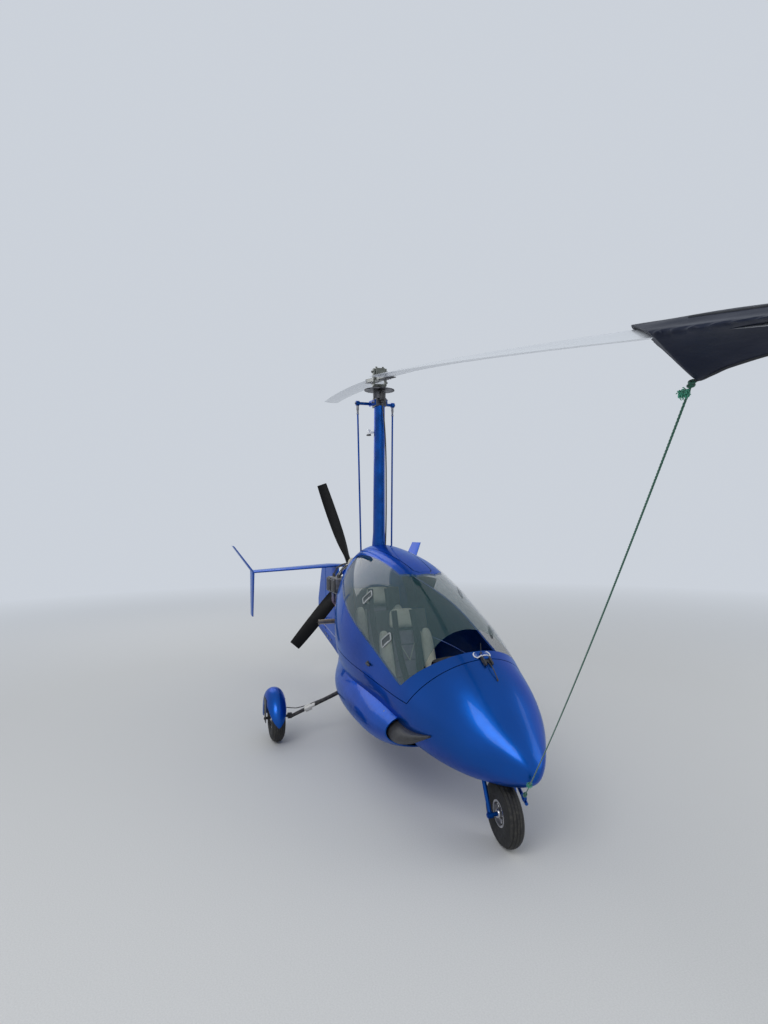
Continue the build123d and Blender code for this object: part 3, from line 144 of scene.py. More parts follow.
class Finish(Tree):
    """A node material round one Principled shader."""

    def __init__(self, name, colour, rough=0.5, metal=0.0, **fixed):
        self.material = bpy.data.materials.new(name)
        self.material.use_nodes = True
        self.material.diffuse_color = (*colour, 1)
        super().__init__(self.material.node_tree)
        self.shader = self.tree.nodes["Principled BSDF"]
        constants = {"base_color": (*colour, 1), "roughness": rough, "metallic": metal, **fixed}
        for key, value in constants.items():
            label = key.replace("_", " ").title().replace("Ior", "IOR")
            self.shader.inputs[label].default_value = value
        self.here = self.add("ShaderNodeTexCoord", output="Object")

    def at(self, centre=(0, 0, 0), turn=(0, 0, 0), scale=(1, 1, 1)):
        return self.add(
            "ShaderNodeMapping",
            {"vector_type": "TEXTURE"},
            {"Vector": self.here, "Location": centre, "Rotation": turn, "Scale": scale},
        )

    def axes(self, at=None):
        split = self.add("ShaderNodeSeparateXYZ", inputs={0: at or self.here})
        return [Value(self, out) for out in split.socket.node.outputs]

    def noise(self, scale, detail=3.0, at=None):
        return self.add(
            "ShaderNodeTexNoise",
            inputs={"Vector": at or self.here, "Scale": scale, "Detail": detail},
        )

    def cells(self, scale, at=None):
        return self.add("ShaderNodeTexVoronoi", inputs={"Vector": at or self.here, "Scale": scale})

    def waves(self, scale, axis="X", at=None):
        settings = {"wave_type": "BANDS", "bands_direction": axis}
        return self.add("ShaderNodeTexWave", settings, {"Vector": at or self.here, "Scale": scale})

    def ramp(self, value, *stops):
        return self.add("ShaderNodeValToRGB", {"stops": stops}, {0: value})

    def mix(self, mask, first, second):
        return self.add(
            "ShaderNodeMix", {"data_type": "RGBA"}, {0: mask, 6: first, 7: second}, output=2
        )

    def use(self, base=None, rough=None, bumps=()):
        """Feeds the shader; bumps are (height, strength, depth in metres), stacked."""
        if base:
            self.tree.links.new(base.socket, self.shader.inputs["Base Color"])
        if rough:
            self.tree.links.new(rough.socket, self.shader.inputs["Roughness"])
        under = None
        for height, strength, depth in bumps:
            inputs = {"Height": height, "Strength": strength, "Distance": depth}
            if under:
                inputs["Normal"] = under
            under = self.add("ShaderNodeBump", inputs=inputs)
        if under:
            self.tree.links.new(under.socket, self.shader.inputs["Normal"])
        return self.material


def shade(colour, share):
    return tuple(min(1.0, channel * share) for channel in colour)


# Finishes of the machine


BLUE_SHEEN = (0.1, 0.45, 1, 1)


def blue_gelcoat(colours):
    blue = tuple(colours.blue)
    paint = Finish(
        "blue_gelcoat", blue, 0.34, 0.85, coat_weight=0.3, coat_roughness=0.05, specular_tint=BLUE_SHEEN
    )
    flake = paint.noise(1100.0, 1.0)
    cloud = paint.noise(1.6, 2.0)
    blotches = paint.noise(38.0, 4.0)
    height = paint.axes()[2]
    # Lower surfaces are mixed up to 12% toward dark grey and made rougher in blotches, more so lower down:
    # darker towards the bottom
    low = height.over(0.6, 0.2) * blotches.over(0.45, 0.75)
    tone = paint.ramp(
        flake * 0.2 + cloud * 0.8, (0.32, shade(blue, 0.78)), (0.5, blue), (0.68, shade(blue, 1.25))
    )
    return paint.use(
        base=paint.mix(low * 0.12, tone, (0.05, 0.06, 0.09)),
        rough=low * 0.12 + blotches.over(0.3, 0.8, 0.3, 0.38),
        bumps=[(paint.noise(6.0, 2.0), 0.04, 0.002)],
    )


def blue_powder_coat(colours):
    blue = tuple(colours.blue)
    paint = Finish(
        "blue_powder_coat", blue, 0.38, 0.7, coat_weight=0.2, coat_roughness=0.12, specular_tint=BLUE_SHEEN
    )
    tone = paint.noise(14.0, 3.0)
    return paint.use(
        base=paint.ramp(tone, (0.3, shade(blue, 0.62)), (0.7, blue)),
        rough=tone.over(0.3, 0.7, 0.3, 0.44),
        bumps=[(paint.noise(420.0, 2.0), 0.12, 0.0004)],
    )


def tinted_acrylic(colours):
    tint = tuple(colours.glass)
    glass = Finish(
        "tinted_acrylic", tint, 0.03, coat_weight=1.0, coat_roughness=0.02, alpha=colours.glass_cover
    )
    haze = glass.noise(3.0, 3.0)
    return glass.use(
        base=glass.ramp(haze, (0.3, shade(tint, 0.8)), (0.7, tint)),
        rough=glass.noise(24.0, 3.0).over(0.4, 0.9, 0.02, 0.08),
        bumps=[(glass.noise(2.4, 1.0), 0.06, 0.005)],
    )


def tyre_rubber(name, centre, radius, turn=0.0):
    """Rubber with grooves round the crown and fine rings on the walls."""
    rubber = Finish(name, (0.02, 0.02, 0.021), 0.7, specular_ior_level=0.35)
    along, across, up = rubber.axes(rubber.at(centre, (0, 0, turn)))
    reach = (along * along + up * up) ** 0.5
    crown = reach.over(radius * 0.84, radius * 0.9)
    groove = (across + 1.0).folded(0.0075).over(0.0012, 0.0028, 1.0, 0.0) * crown
    ring = reach.folded(0.008).over(0.0, 0.0014, 1.0, 0.0) * (1.0 - crown)
    blotches = rubber.noise(60.0, 4.0)
    worn = rubber.mix(blotches.over(0.4, 0.8) * crown, (0.017, 0.017, 0.018), (0.07, 0.066, 0.058))
    return rubber.use(
        # The tread grooves are mixed toward near black: painted shade in the grooves
        base=rubber.mix(groove * 0.8, worn, (0.006, 0.006, 0.006)),
        rough=blotches.over(0.3, 0.8, 0.6, 0.85),
        bumps=[
            (1.0 - groove, 0.9, 0.003),
            (1.0 - ring, 0.3, 0.001),
            (rubber.noise(480.0, 2.0), 0.15, 0.0004),
        ],
    )


def brushed(name, colour, rough=0.3, scale=(0.2, 0.004, 0.2), dirt=0.3, metal=1.0):
    """Metal with fine tool lines and some dirt."""
    alloy = Finish(name, colour, rough, metal)
    lines = alloy.noise(1.2, 3.0, alloy.at(scale=scale))
    stain = alloy.noise(34.0, 4.0)
    return alloy.use(
        base=alloy.ramp(stain, (0.35, shade(colour, 1 - dirt)), (0.65, colour)),
        rough=lines.over(0.25, 0.75, rough * 0.7, rough * 1.4),
        bumps=[(lines, 0.1, 0.0005), (alloy.noise(160.0, 2.0), 0.06, 0.0005)],
    )


def cast_alloy():
    alloy = Finish("cast_alloy", (0.32, 0.32, 0.33), 0.5, 0.8)
    stain = alloy.noise(22.0, 5.0)
    return alloy.use(
        base=alloy.ramp(stain, (0.3, (0.1, 0.1, 0.1)), (0.58, (0.3, 0.3, 0.31)), (0.8, (0.42, 0.42, 0.43))),
        rough=stain.over(0.3, 0.8, 0.42, 0.68),
        bumps=[(alloy.noise(420.0, 3.0), 0.35, 0.0008), (alloy.noise(30.0, 2.0), 0.1, 0.002)],
    )


def hot_steel():
    steel = Finish("hot_steel", (0.4, 0.34, 0.28), 0.38, 1.0)
    heat = steel.axes()[2].over(0.75, 1.1) + steel.noise(16.0, 4.0) * 0.35
    return steel.use(
        base=steel.ramp(
            heat,
            (0.1, (0.42, 0.4, 0.38)),
            (0.5, (0.38, 0.28, 0.18)),
            (0.75, (0.2, 0.14, 0.2)),
            (1.0, (0.14, 0.16, 0.26)),
        ),
        rough=steel.noise(60.0, 3.0).over(0.3, 0.8, 0.28, 0.55),
        bumps=[(steel.noise(220.0, 3.0), 0.12, 0.0006)],
    )


def blade_paint():
    paint = Finish("blade_paint", (0.72, 0.74, 0.77), 0.32, 0.1, coat_weight=0.5, coat_roughness=0.1)
    streak = paint.noise(1.0, 2.0, paint.at(turn=(0, 0, radians(-8)), scale=(1.4, 0.08, 1.0)))
    return paint.use(
        base=paint.ramp(
            streak, (0.3, (0.52, 0.55, 0.6)), (0.55, (0.6, 0.63, 0.67)), (0.8, (0.66, 0.69, 0.73))
        ),
        rough=streak.over(0.3, 0.8, 0.34, 0.42),
        bumps=[(streak, 0.05, 0.0005)],
    )


def carbon_black():
    lacquer = Finish("carbon_black", (0.004, 0.004, 0.005), 0.5, specular_ior_level=0.12)
    weave = lacquer.waves(90.0, "Z") * lacquer.waves(90.0, "Y")
    nick = lacquer.noise(80.0, 4.0)
    return lacquer.use(
        base=lacquer.ramp(weave, (0.1, (0.003, 0.003, 0.0035)), (0.7, (0.008, 0.008, 0.009))),
        rough=nick.over(0.5, 0.8, 0.38, 0.6),
        bumps=[(weave, 0.1, 0.0003), (nick, 0.04, 0.001)],
    )


def moulded(name, colour, rough=0.6, grain=620.0):
    """Moulded plastic or coated metal with a fine leather grain."""
    trim = Finish(name, colour, rough)
    pits = trim.cells(grain)
    light = tuple(min(1.0, c * 1.6 + 0.006) for c in colour)
    return trim.use(
        base=trim.ramp(trim.noise(40.0, 3.0), (0.35, colour), (0.8, light)),
        rough=pits.over(0.1, 0.6, rough * 0.85, min(1.0, rough * 1.2)),
        bumps=[(pits, 0.3, 0.0005)],
    )


def seat_cloth(name, colour, lean, channel=0.0):
    """Woven cloth; channel is the pitch of its sewn rows, square to the lean."""
    cloth = Finish(name, colour, 0.85, sheen_weight=0.4, sheen_roughness=0.4)
    up = cloth.axes(cloth.at(turn=(0, lean, 0)))[2]
    weave = cloth.waves(240.0, "Y") * cloth.waves(240.0, "Z")
    fade = cloth.noise(7.0, 4.0)
    tint = cloth.ramp(fade, (0.35, shade(colour, 0.8)), (0.7, shade(colour, 1.15)))
    bumps = [(weave, 0.4, 0.0006), (cloth.noise(30.0, 3.0), 0.3, 0.003)]
    if channel:
        groove = (up + 4.0).folded(channel).over(0.0, 0.006)
        # The sewn channels are mixed toward a darker shade of the cloth: painted shade in the grooves
        tint = cloth.mix(1.0 - groove, tint, shade(colour, 0.45))
        bumps.insert(0, (groove, 0.9, 0.006))
    return cloth.use(
        base=cloth.mix(weave * 0.3, tint, shade(colour, 0.55)),
        rough=weave.over(0.0, 1.0, 0.9, 0.78),
        bumps=bumps,
    )


def cover_vinyl(colours):
    """Heavy coated cloth, creased, with a dull shine along its folds."""
    dark = tuple(colours.cover)
    vinyl = Finish("cover_vinyl", dark, 0.42, specular_ior_level=0.22)
    crease = vinyl.noise(1.6, 6.0, vinyl.at(turn=(0, radians(12), radians(-8)), scale=(0.3, 0.11, 0.11)))
    fade = vinyl.noise(3.5, 4.0)
    weave = vinyl.waves(330.0, "X") * vinyl.waves(330.0, "Y")
    return vinyl.use(
        base=vinyl.ramp(fade, (0.3, dark), (0.75, shade(dark, 1.6))),
        rough=crease.over(0.3, 0.75, 0.42, 0.66),
        bumps=[(crease, 0.35, 0.012), (weave, 0.15, 0.0003)],
    )


def green_cord(colours, name="green_cord", share=1.0):
    green = shade(tuple(colours.rope), share)
    fibre = Finish(name, green, 0.7, sheen_weight=0.4)
    lay = fibre.noise(420.0, 2.0)
    return fibre.use(
        base=fibre.ramp(lay, (0.3, shade(green, 0.45)), (0.7, shade(green, 1.3))),
        rough=lay.over(0.3, 0.7, 0.6, 0.85),
        bumps=[(lay, 0.5, 0.0006)],
    )


def leg_enamel():
    """Dark spring steel, with a pale clamp sleeve on each leg."""
    enamel = Finish("leg_enamel", (0.03, 0.03, 0.035), 0.4, 0.5)
    out = abs(enamel.axes()[1])
    sleeve = out.over(0.5555, 0.5565) * out.over(0.6365, 0.6375, 1.0, 0.0)
    scuff = enamel.noise(55.0, 4.0)
    dark = enamel.ramp(scuff, (0.4, (0.02, 0.02, 0.024)), (0.8, (0.09, 0.085, 0.08)))
    pale = enamel.ramp(scuff, (0.35, (0.5, 0.49, 0.46)), (0.7, (0.72, 0.71, 0.68)))
    return enamel.use(
        base=enamel.mix(sleeve, dark, pale),
        rough=scuff.over(0.3, 0.8, 0.34, 0.6),
        bumps=[(enamel.noise(260.0, 3.0), 0.15, 0.0006)],
    )


def clear_lamp():
    lens = Finish("clear_lamp", (0.85, 0.86, 0.88), 0.12, coat_weight=1.0)
    ribs = lens.waves(120.0, "Z")
    return lens.use(
        base=lens.ramp(ribs, (0.2, (0.66, 0.68, 0.72)), (0.8, (0.88, 0.89, 0.91))),
        bumps=[(ribs, 0.3, 0.001)],
    )


def enamel(name, colour, rough=0.35, metal=0.0):
    paint = Finish(name, colour, rough, metal)
    tone = paint.noise(30.0, 3.0)
    return paint.use(
        base=paint.ramp(tone, (0.3, shade(colour, 0.8)), (0.7, colour)),
        rough=tone.over(0.3, 0.7, rough * 0.8, rough * 1.3),
        bumps=[(paint.noise(300.0, 2.0), 0.08, 0.0004)],
    )


def dial_face():
    """Instrument glass over a dark face with pale marks from a cell pattern."""
    dial = Finish("dial_face", (0.02, 0.02, 0.02), 0.2, coat_weight=1.0)
    mark = dial.cells(150.0)
    return dial.use(
        base=dial.ramp(mark, (0.1, (0.6, 0.6, 0.58)), (0.24, (0.02, 0.02, 0.022))),
        bumps=[(mark, 0.05, 0.0003)],
    )


# Modelling helpers


def only(*pieces):
    if bpy.context.object and bpy.context.object.mode != "OBJECT":
        bpy.ops.object.mode_set(mode="OBJECT")
    bpy.ops.object.select_all(action="DESELECT")
    for piece in pieces:
        piece.select_set(True)
    bpy.context.view_layer.objects.active = pieces[0] if pieces else None


@contextmanager
def editing(piece):
    """Edit mode on a piece with nothing selected; gives its mesh."""
    only(piece)
    bpy.ops.object.mode_set(mode="EDIT")
    bpy.ops.mesh.select_mode(type="FACE")
    bpy.ops.mesh.select_all(action="DESELECT")
    yield bmesh.from_edit_mesh(piece.data)
    bpy.ops.object.mode_set(mode="OBJECT")


def pick(mesh, test):
    for face in mesh.faces:
        face.select_set(test(face))
    mesh.select_flush_mode()


def looks_up(face):
    return face.normal.z > 0.9


def looks_back(face):
    return face.normal.x < -0.9


def broad(test, area):
    """A test for the faces that pass another test and are larger than an area."""
    return lambda face: test(face) and face.calc_area() > area


def stepped(piece, test, *steps):
    """Insets the faces that pass a test, each step a (thickness, depth)."""
    with editing(piece) as mesh:
        pick(mesh, test)
        for thickness, depth in steps:
            bpy.ops.mesh.inset(thickness=thickness, depth=depth)


def merged(name, mesh):
    """A new piece that takes over a bmesh."""
    data = bpy.data.meshes.new(name)
    mesh.to_mesh(data)
    mesh.free()
    piece = bpy.data.objects.new(name, data)
    bpy.context.collection.objects.link(piece)
    return piece


def new(kind, name, **size):
    only()
    getattr(bpy.ops.mesh, f"primitive_{kind}_add")(**size)
    piece = bpy.context.object
    piece.name = name
    return piece


def apply(piece, kind, **settings):
    only(piece)
    modifier = piece.modifiers.new(kind.lower(), kind)
    for key, value in settings.items():
        setattr(modifier, key, value)
    bpy.ops.object.modifier_apply(modifier=modifier.name)


def turned_to(place, direction, turn=0.0):
    """A matrix that puts Z on a direction, with X kept level where it can be."""
    z = Vector(direction).normalized()
    x = Vector((0, 1, 0)).cross(z)
    x = x.normalized() if x.length > 0.05 else Vector((0, 0, 1)).cross(z).normalized()
    y = z.cross(x)
    turn_matrix = Matrix((x, y, z)).transposed().to_4x4()
    return Matrix.Translation(place) @ turn_matrix @ Matrix.Rotation(turn, 4, "Z")


def copies(piece, name, places):
    """The piece at each place, every copy with its own mesh, joined into one."""
    made = []
    for place in places:
        copy = piece.copy()
        copy.data = piece.data.copy()
        bpy.context.collection.objects.link(copy)
        copy.matrix_world = place @ piece.matrix_world
        made.append(copy)
    bpy.data.objects.remove(piece)
    return joined(name, made)


def joined(name, pieces):
    only(*pieces)
    bpy.ops.object.transform_apply(location=True, rotation=True, scale=True)
    if len(pieces) > 1:
        bpy.ops.object.join()
    whole = bpy.context.object
    whole.name = name
    whole.data.name = name
    return whole


def settle(piece, body, material, angle=35):
    """Brings a finished piece to the origin, smooths it and hands it to a body."""
    only(piece)
    bpy.ops.object.transform_apply(location=True, rotation=True, scale=True)
    with editing(piece):
        bpy.ops.mesh.select_all(action="SELECT")
        bpy.ops.mesh.normals_make_consistent(inside=False)
    only(piece)
    bpy.ops.object.shade_smooth_by_angle(angle=radians(angle))
    piece.data.materials.clear()
    piece.data.materials.append(material)
    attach(piece, body)
    return piece


def plate(name, size, bevel=0.002, segments=2):
    """A bevelled plate about the origin."""
    piece = new("cube", name, size=1.0, scale=size)
    bpy.ops.object.transform_apply(location=True, rotation=True, scale=True)
    apply(piece, "BEVEL", width=bevel, segments=segments, limit_method="NONE")
    return piece


def bolt(radius, height):
    """A hexagon head with a chamfer, on a washer, standing on the origin."""
    middle = (0, 0, height / 2 + 0.0015)
    head = new("cylinder", "bolt", vertices=6, radius=radius, depth=height, location=middle)
    stepped(head, looks_up, (radius * 0.18, height * 0.12), (radius * 0.3, -height * 0.08))
    washer = new("cylinder", "washer", vertices=18, radius=radius * 1.35, depth=0.002, location=(0, 0, 0.0006))
    stepped(washer, looks_up, (radius * 0.1, 0.0003))
    return joined("bolt", [head, washer])


def bolts(name, body, material, spots, radius, height):
    places = [turned_to(spot, out) for spot, out in spots]
    return settle(copies(bolt(radius, height), name, places), body, material, 30)


def turned_shape(name, outline, steps=32):
    """A closed outline of (radius, height) pairs, spun round Z."""
    piece = new("circle", name, vertices=len(outline), radius=0.01)
    with editing(piece) as mesh:
        for point, (radius, height) in zip(mesh.verts, outline):
            point.co = Vector((radius, 0, height))
        bpy.ops.mesh.select_all(action="SELECT")
        bpy.ops.mesh.spin(steps=steps, angle=2 * pi, center=(0, 0, 0), axis=(0, 0, 1))
        bpy.ops.mesh.select_all(action="SELECT")
        bpy.ops.mesh.remove_doubles(threshold=0.00005)
        bpy.ops.mesh.normals_make_consistent(inside=False)
    return piece


def tube(name, points, radius, sides=10, steps=10):
    """A round tube through a smooth line with these control points."""
    curve = bpy.data.curves.new(name, "CURVE")
    curve.dimensions = "3D"
    curve.bevel_depth = radius
    curve.bevel_resolution = max(1, sides // 4)
    curve.resolution_u = steps
    curve.use_fill_caps = True
    line = curve.splines.new("NURBS")
    line.points.add(len(points) - 1)
    for knot, point in zip(line.points, points):
        knot.co = (*point, 1)
    line.order_u = 3
    line.use_endpoint_u = True
    holder = bpy.data.objects.new(name, curve)
    bpy.context.collection.objects.link(holder)
    only(holder)
    bpy.ops.object.convert(target="MESH")
    return bpy.context.object


def lofted(name, rings, vertices=28):
    """Rings of (centre, rotation, width, height) bridged one to the next, with closed ends."""
    piece = new("circle", name, vertices=vertices, radius=1, location=(0, 0, 0))
    only(piece)
    bpy.ops.object.mode_set(mode="EDIT")
    bpy.ops.mesh.select_all(action="SELECT")
    bpy.ops.mesh.delete(type="VERT")
    for centre, rotation, width, height in rings:
        bpy.ops.mesh.primitive_circle_add(vertices=vertices, radius=1, location=centre, rotation=rotation)
        turn = Euler(rotation).to_matrix()
        reach = turn @ Vector((width, 0, 0)), turn @ Vector((0, height, 0))
        value = [abs(a) + abs(b) if abs(a) + abs(b) > 1e-5 else 1.0 for a, b in zip(*reach)]
        bpy.ops.transform.resize(value=value, center_override=centre)
    bpy.ops.mesh.select_mode(type="EDGE")
    bpy.ops.mesh.select_all(action="SELECT")
    bpy.ops.mesh.bridge_edge_loops()
    bpy.ops.mesh.select_all(action="DESELECT")
    bpy.ops.mesh.select_non_manifold()
    bpy.ops.mesh.edge_face_add()
    bpy.ops.mesh.select_all(action="SELECT")
    bpy.ops.mesh.normals_make_consistent(inside=False)
    bpy.ops.object.mode_set(mode="OBJECT")
    return piece


def hits(piece, lines):
    """The place and normal where each line of (start, direction) first meets a piece."""
    found = [piece.ray_cast(Vector(start), Vector(toward).normalized()) for start, toward in lines]
    return [(place, normal) for hit, place, normal, face in found if hit]


def spot_on(node, start, toward):
    """Where a line first meets a node, and the way that face looks."""
    found = hits(NODES[node], [(start, toward)])
    if not found:
        raise RuntimeError(f"no surface of {node} from {start}")
    return found[0]


def clamp(value, low=0.0, high=1.0):
    return min(high, max(low, value))


def cling(piece, node, lift=0.0006):
    """Lays a piece's points on a node's surface, each at its own height above the origin plane."""
    for point in piece.data.vertices:
        world = piece.matrix_world @ point.co
        found, place, normal, face = NODES[node].closest_point_on_mesh(world)
        height = point.co.z + lift
        point.co = piece.matrix_world.inverted() @ (place + normal * height)


# Stage


HORIZON = (0.6, 0.64, 0.7)
SKY = (0.9, 0.95, 1.0)
FADE_FROM, FADE_TO = 3.5, 13.0
LAMPS = (
    ("lamp_key", (5.5, -5.0, 6.5), 230, 4.5, (0.6, 0, 1.0)),
    ("lamp_fill", (4.0, 6.5, 4.0), 90, 5.0, (0.4, 0, 1.0)),
    ("lamp_rear", (-6.5, -1.5, 5.0), 70, 4.5, (-0.5, 0, 1.2)),
)
CAMERA_AT = (4.48921, -1.5432, 1.60335)
CAMERA_AXES = (
    (0.32937736, 0.94412008, -0.01215844),
    (0.0312126, 0.00198255, 0.9995108),
    (0.94368232, -0.32959573, -0.02881544),
)


class GYRO_OT_stage(bpy.types.Operator):
    """Floor, backdrop light, lamps and camera"""

    bl_idname = "gyro.stage"
    bl_label = "Stage"

    def execute(self, context):
        sizes = context.scene.gyro_sizes
        self.lay_floor(sizes.floor)
        self.light_world(context.scene)
        for name, place, power, size, aim in LAMPS:
            lamp = bpy.data.lights.new(name, "AREA")
            lamp.energy = power
            lamp.size = size
            holder = bpy.data.objects.new(name, lamp)
            holder.location = place
            holder.rotation_euler = (Vector(aim) - Vector(place)).to_track_quat("-Z", "Y").to_euler()
            context.collection.objects.link(holder)
        view = bpy.data.cameras.new("camera")
        view.lens = sizes.lens
        view.sensor_width = 36
        view.clip_end = 300
        holder = bpy.data.objects.new("camera", view)
        holder.matrix_world = Matrix.Translation(CAMERA_AT) @ Matrix(CAMERA_AXES).transposed().to_4x4()
        context.collection.objects.link(holder)
        context.scene.camera = holder
        context.scene.view_settings.view_transform = "Standard"
        return {"FINISHED"}

    def lay_floor(self, side):
        """A plain floor that goes over into the horizon's colour far out."""
        floor = new("plane", "floor", size=side, location=(0, 0, -0.0005))
        with editing(floor):
            bpy.ops.mesh.select_all(action="SELECT")
            bpy.ops.mesh.subdivide(number_cuts=8)
        paint = Finish("floor_paint", (0.72, 0.73, 0.74), 0.75)
        along, across = paint.axes()[:2]
        far = ((along * along + across * across) ** 0.5).over(FADE_FROM, FADE_TO)
        grain = paint.noise(160.0, 3.0)
        paint.use(
            base=paint.ramp(grain, (0.3, (0.6, 0.6, 0.6)), (0.7, (0.66, 0.66, 0.66))),
            bumps=[(paint.noise(90.0, 3.0), 0.08, 0.001)],
        )
        glow = paint.add("ShaderNodeEmission", inputs={"Color": HORIZON, "Strength": 1.0})
        near = Value(paint, paint.shader.outputs[0])
        blend = paint.add("ShaderNodeMixShader", inputs={0: far, 1: near, 2: glow})
        paint.tree.links.new(blend.socket, paint.tree.nodes["Material Output"].inputs["Surface"])
        floor.data.materials.append(paint.material)

    def light_world(self, scene):
        """Soft light from all round, with a pale background for the camera and mirrors."""
        world = scene.world or bpy.data.worlds.new("studio")
        scene.world = world
        world.use_nodes = True
        world.node_tree.nodes.clear()
        sky = Tree(world.node_tree)
        rays = sky.add("ShaderNodeLightPath").socket.node.outputs
        seen, mirrored, through = (
            Value(sky, rays[f"Is {kind} Ray"]) for kind in ("Camera", "Glossy", "Transmission")
        )
        clear = seen.math("MAXIMUM", seen, mirrored)
        clear = clear.math("MAXIMUM", clear, through)
        soft = sky.add("ShaderNodeBackground", inputs={"Color": SKY, "Strength": 0.6})
        pale = sky.add("ShaderNodeBackground", inputs={"Color": HORIZON})
        light = sky.add("ShaderNodeMixShader", inputs={0: clear, 1: soft, 2: pale})
        sky.add("ShaderNodeOutputWorld", inputs={"Surface": light})


# Finishes of the constructed frame


NOSE_WHEEL = (1.857, -0.0003, 0.165)
AXLE_X, AXLE_Z = -0.043, 0.178
TRACK = 0.852
MAIN_WHEELS = {side: (AXLE_X, sign * TRACK, AXLE_Z) for sign, side in SIDES}
NOSE_AXLE = Vector((0.0889, 0.9954, 0.0359))


def frame_finishes(colours):
    """Each finish, with the nodes that have it."""
    return (
        (
            blue_gelcoat(colours),
            "hull canopy_frame sponson_left sponson_right mudguards fin rudder stabilizer tip_fins",
        ),
        (blue_powder_coat(colours), "mast nose_fork tow_bar control_rods head_bracket keel engine_mount"),
        (tinted_acrylic(colours), "canopy_glass"),
        (leg_enamel(), "main_gear_legs"),
        (moulded("dark_plate", (0.02, 0.02, 0.022), 0.45), "guard_plates canopy_hinge"),
        (
            brushed("dark_steel", (0.1, 0.1, 0.11), 0.38, (0.05, 0.05, 0.003)),
            "ring_gear steering_bearing rotor_head",
        ),
        (
            brushed("machined_alloy", (0.62, 0.62, 0.64), 0.32, (0.05, 0.004, 0.05)),
            "main_rim_left main_rim_right nose_rim propeller_hub",
        ),
        (brushed("tower_alloy", (0.2, 0.21, 0.19), 0.42, (0.05, 0.05, 0.004)), "teeter_tower hub_bar"),
        (tyre_rubber("tyre_left", MAIN_WHEELS["left"], AXLE_Z), "main_tyre_left"),
        (tyre_rubber("tyre_right", MAIN_WHEELS["right"], AXLE_Z), "main_tyre_right"),
        (tyre_rubber("tyre_nose", NOSE_WHEEL, NOSE_WHEEL[2], radians(-5.1)), "nose_tyre"),
        (blade_paint(), "blade_front blade_rear"),
        (cover_vinyl(colours), "tip_cover"),
        (clear_lamp(), "beacon"),
        (carbon_black(), "propeller_blades"),
        (cast_alloy(), "engine_block engine_cylinders reduction_gearbox radiator"),
        (hot_steel(), "exhaust"),
        (
            moulded("cabin_trim", (0.035, 0.035, 0.038), 0.65, 420.0),
            "cabin_floor front_seat rear_seat instrument_panel control_sticks",
        ),
    )


class GYRO_OT_finishes(bpy.types.Operator):
    """Finishes of the constructed frame"""

    bl_idname = "gyro.finishes"
    bl_label = "Frame finishes"

    def execute(self, context):
        for material, names in frame_finishes(context.scene.gyro_colours):
            for name in names.split():
                node = NODES[name]
                if not node.material_slots:
                    node.data.materials.append(material)
                for holder in node.material_slots:
                    holder.material = material
        return {"FINISHED"}


# Seats


class Seat:
    """Where a seat's pan and back lie, as read off its CAD solid's own lines."""

    def __init__(self, node, hip, pan, back, lean):
        self.node = node
        self.hip = Vector(hip)
        self.pan = pan
        self.back = back
        self.lean = radians(lean)
        self.up = Vector((-sin(self.lean), 0, cos(self.lean)))
        self.out = Vector((cos(self.lean), 0, sin(self.lean)))
        self.ahead = Vector((pan, 0, 0.046)).normalized()
        self.pan_up = Vector((-self.ahead.z, 0, self.ahead.x))

    def on_back(self, height, y, proud):
        return self.hip + self.up * height + self.out * proud + Vector((0, y, 0))

    def on_pan(self, reach, y, proud):
        return self.hip + self.ahead * reach + self.pan_up * proud + Vector((0, y, 0))


SEATS = [
    Seat("front_seat", (0.690, 0, 0.440), 0.400, 0.640, 22),
    Seat("rear_seat", (0.060, 0, 0.500), 0.400, 0.660, 14),
]
CABIN_FLOOR = 0.352
SWELL = 0.006
WELT = 0.0035
STRAP_WIDTH = 0.044


def cushion(name, centre, along, out, size, taper=1.0, power=5.0, pinch=0.05, cuts=14):
    """A crowned pad: a cube rounded toward its edges, its sides pulled in between corners."""
    pad = new("cube", name, size=2)
    with editing(pad):
        bpy.ops.mesh.select_all(action="SELECT")
        bpy.ops.mesh.subdivide(number_cuts=cuts)
    across = Vector((0, 1, 0))
    width, length, thick = (measure / 2 for measure in size)
    for point in pad.data.vertices:
        u, v, w = point.co
        reach = (abs(u) ** power + abs(v) ** power + abs(w) ** power) ** (1 / power)
        u, v, w = u / reach, v / reach, w / reach
        narrow = 1 + (taper - 1) * (v + 1) / 2
        crown = 0.72 + 0.28 * (1 - u * u) * (1 - v * v * v * v)
        u *= narrow * (1 - pinch * (1 - v * v))
        v *= 1 - pinch * 0.6 * (1 - u * u)
        point.co = centre + across * (u * width) + along * (v * length) + out * (w * crown * thick)
    return pad


def stuffed(pad, pressure=4.0, frames=20):
    """Swells a pad by cloth simulation, no point moving more than SWELL."""
    apply(pad, "REMESH", mode="VOXEL", voxel_size=0.006)
    before = [point.co.copy() for point in pad.data.vertices]
    only(pad)
    cloth = pad.modifiers.new("cloth", "CLOTH")
    cloth.settings.use_pressure = True
    cloth.settings.uniform_pressure_force = pressure
    cloth.settings.effector_weights.gravity = 0
    cloth.settings.quality = 4
    scene = bpy.context.scene
    cloth.point_cache.frame_end = frames
    for step in range(1, frames + 1):
        scene.frame_set(step)
    bpy.ops.object.modifier_apply(modifier=cloth.name)
    scene.frame_set(1)
    for point, old in zip(pad.data.vertices, before):
        move = point.co - old
        if move.length > SWELL:
            point.co = old + move.normalized() * SWELL


